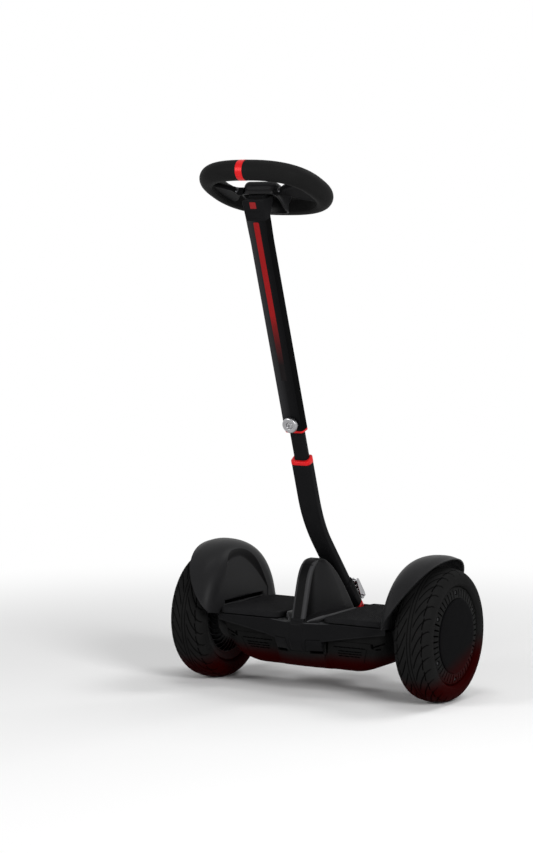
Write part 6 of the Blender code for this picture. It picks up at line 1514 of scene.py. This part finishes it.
def rear_fittings():
    """The charging flap with its pull tab, and the lenses of the tail lamps."""
    def upright(size, corner, edge, count, middle, y):
        """A slab that stands across Y: size is its width, height and depth, and y where it starts."""
        points, quads = slab(size[0], size[1], corner, 0, size[2], edge, count)
        return np.stack([points[:, 0] + middle[0], y + points[:, 2], middle[1] + points[:, 1]], -1), quads

    def cover_of(node, corner, edge, count):
        """A slab that fills a node's box."""
        low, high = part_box(node)
        size, middle = high - low, (low + high) / 2
        return upright((size.x, size.z, size.y), corner, edge, count, (middle.x, middle.z), low.y)

    low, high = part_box("charge_flap")
    tab_middle = ((low.x + high.x) / 2, low.z + 3 * MM)
    tab = upright((8 * MM, 2.4 * MM, 1.0 * MM), 1.1 * MM, 0.4 * MM, 40, tab_middle, high.y - 0.3 * MM)
    piece("flap_moulding", [cover_of("charge_flap", 4 * MM, 0.7 * MM, 64), tab], mat_rubber, "port_flap",
          ["charge_flap"], 50)
    for label in ("left", "right"):
        lens = cover_of(f"{label}_tail_lamp", 3 * MM, 0.8 * MM, 120)
        piece(f"{label}_lamp_lens", [lens], mark_red, "frame", [f"{label}_tail_lamp"], 50)


for side, label in ((1, "left"), (-1, "right")):
    tyre(side, label)
    outer_cover(side, label)
    hub_cap(side, label)
    rim(side, label)
    inner_cover(side, label)
    fender(side, label)
    foot_mat(side, label)
deck_cover()
tail_cover()
tray()
chassis()
hump()
front_band()
power_button()
base_ring()
clamp_collar()
lever()
lower_tube()
upper_tube()
light_strip()
column_head()
clamp_knob()
steering_ring()
hub_cover()
spokes()
rear_fittings()

# The solids that stay, with their finishes
KEPT = {
    "battery_pack": shrink_wrap, "charge_socket": matt_plastic,
    "front_bush": bright_aluminium, "rear_bush": bright_aluminium, "pivot_shaft": ground_steel,
    "column_socket": cast_alloy_plain, "lever_pin": ground_steel, "inner_tube": powder_coat,
    "steering_bridge": cast_alloy_plain,
}
for label in ("left", "right"):
    KEPT[f"{label}_axle"] = KEPT[f"{label}_outer_bearing"] = KEPT[f"{label}_inner_bearing"] = ground_steel
    KEPT[f"{label}_stator"] = wound_copper
    KEPT[f"{label}_magnet_ring"] = nickel_plate
for name, finish in KEPT.items():
    mesh = frame["nodes"][name].data
    mesh.materials.clear()
    mesh.materials.append(finish)


# Floor, light and camera

FLOOR_REACH, FADE_START, FADE_END = 14.0, 0.55, 1.9     # metres from the object's middle
SURROUND_LIGHT = 0.20           # what the white surround lights the object with


def studio():
    """A pale floor that fades to white, and a white surround that lights little."""
    floor_mesh = bpy.data.meshes.new("studio_floor")
    reach = FLOOR_REACH
    corners = [(-reach, -reach, 0), (reach, -reach, 0), (reach, reach, 0), (-reach, reach, 0)]
    floor_mesh.from_pydata(corners, [], [(0, 1, 2, 3)])
    floor = bpy.data.objects.new("studio_floor", floor_mesh)
    bpy.context.scene.collection.objects.link(floor)
    material, tree, shader = principled("pale_floor")
    shader.inputs["Base Color"].default_value = linear("f4f4f4")
    shader.inputs["Roughness"].default_value = 0.8
    shader.inputs["Specular IOR Level"].default_value = 0.0
    place = add(tree, "ShaderNodeTexCoord").outputs["Object"]
    away = add(tree, "ShaderNodeVectorMath", {0: place}, operation="LENGTH")
    far = add(tree, "ShaderNodeMapRange", {"Value": away.outputs["Value"], "From Min": FADE_START,
                                           "From Max": FADE_END},
              interpolation_type="SMOOTHSTEP")
    white = add(tree, "ShaderNodeEmission", {"Color": (1, 1, 1, 1), "Strength": 1.0})
    blend = add(tree, "ShaderNodeMixShader", {0: far.outputs["Result"], 1: shader.outputs[0],
                                              2: white.outputs[0]})
    tree.links.new(blend.outputs[0], tree.nodes["Material Output"].inputs["Surface"])
    floor_mesh.materials.append(material)

    world = bpy.data.worlds.new("white_surround")
    world.use_nodes = True
    bpy.context.scene.world = world
    tree = world.node_tree
    rays = add(tree, "ShaderNodeLightPath")
    seen = rays.outputs["Is Camera Ray"]
    for kind in ("Is Glossy Ray", "Is Transmission Ray"):
        seen = add(tree, "ShaderNodeMath", {0: seen, 1: rays.outputs[kind]}, operation="MAXIMUM").outputs[0]
    strength = add(tree, "ShaderNodeMapRange", {"Value": seen, "To Min": SURROUND_LIGHT, "To Max": 1.0})
    background = tree.nodes["Background"]
    background.inputs["Color"].default_value = (1, 1, 1, 1)
    tree.links.new(strength.outputs["Result"], background.inputs["Strength"])


def lamp(name, place, target, size, power):
    """A square soft lamp that faces a point."""
    data = bpy.data.lights.new(name, "AREA")
    data.size = size
    data.energy = power
    item = bpy.data.objects.new(name, data)
    item.location = place
    item.rotation_euler = (Vector(target) - Vector(place)).to_track_quat("-Z", "Y").to_euler()
    bpy.context.scene.collection.objects.link(item)


CAMERA_AZIMUTH, CAMERA_ELEVATION = math.radians(31.27), math.radians(4.88)
CAMERA_PLACE, CAMERA_SHIFT = (2.3120, -3.9430, 0.9064), 0.00199
FOCAL_PIXELS, FRAME_HEIGHT, SENSOR = 2403.57, 853, 36.0         # SENSOR in mm

studio()
lamp("right_lamp", (2.8, -1.6, 1.7), (0, 0, 0.3), 1.2, 80)
lamp("back_lamp", (0.9, 1.5, 2.6), (0, 0, 0.3), 1.1, 24)
lamp("left_lamp", (-1.7, -3.0, 1.5), (0, 0, 0.4), 1.2, 50)
lamp("top_lamp", (0.1, -0.2, 3.0), (0, 0, 0.2), 1.0, 18)

camera_data = bpy.data.cameras.new("camera")
camera_data.sensor_width = SENSOR
camera_data.lens = FOCAL_PIXELS / FRAME_HEIGHT * SENSOR
camera_data.shift_y = CAMERA_SHIFT
camera_data.clip_end = 60.0
camera = bpy.data.objects.new("camera", camera_data)
right = Vector((math.cos(CAMERA_AZIMUTH), math.sin(CAMERA_AZIMUTH), 0))
back = Vector((math.sin(CAMERA_AZIMUTH) * math.cos(CAMERA_ELEVATION),
               -math.cos(CAMERA_AZIMUTH) * math.cos(CAMERA_ELEVATION), math.sin(CAMERA_ELEVATION)))
up = back.cross(right)
camera.matrix_world = Matrix((right, up, back)).transposed().to_4x4()
camera.location = CAMERA_PLACE
bpy.context.scene.collection.objects.link(camera)
bpy.context.scene.camera = camera
bpy.context.scene.view_settings.view_transform = "Standard"
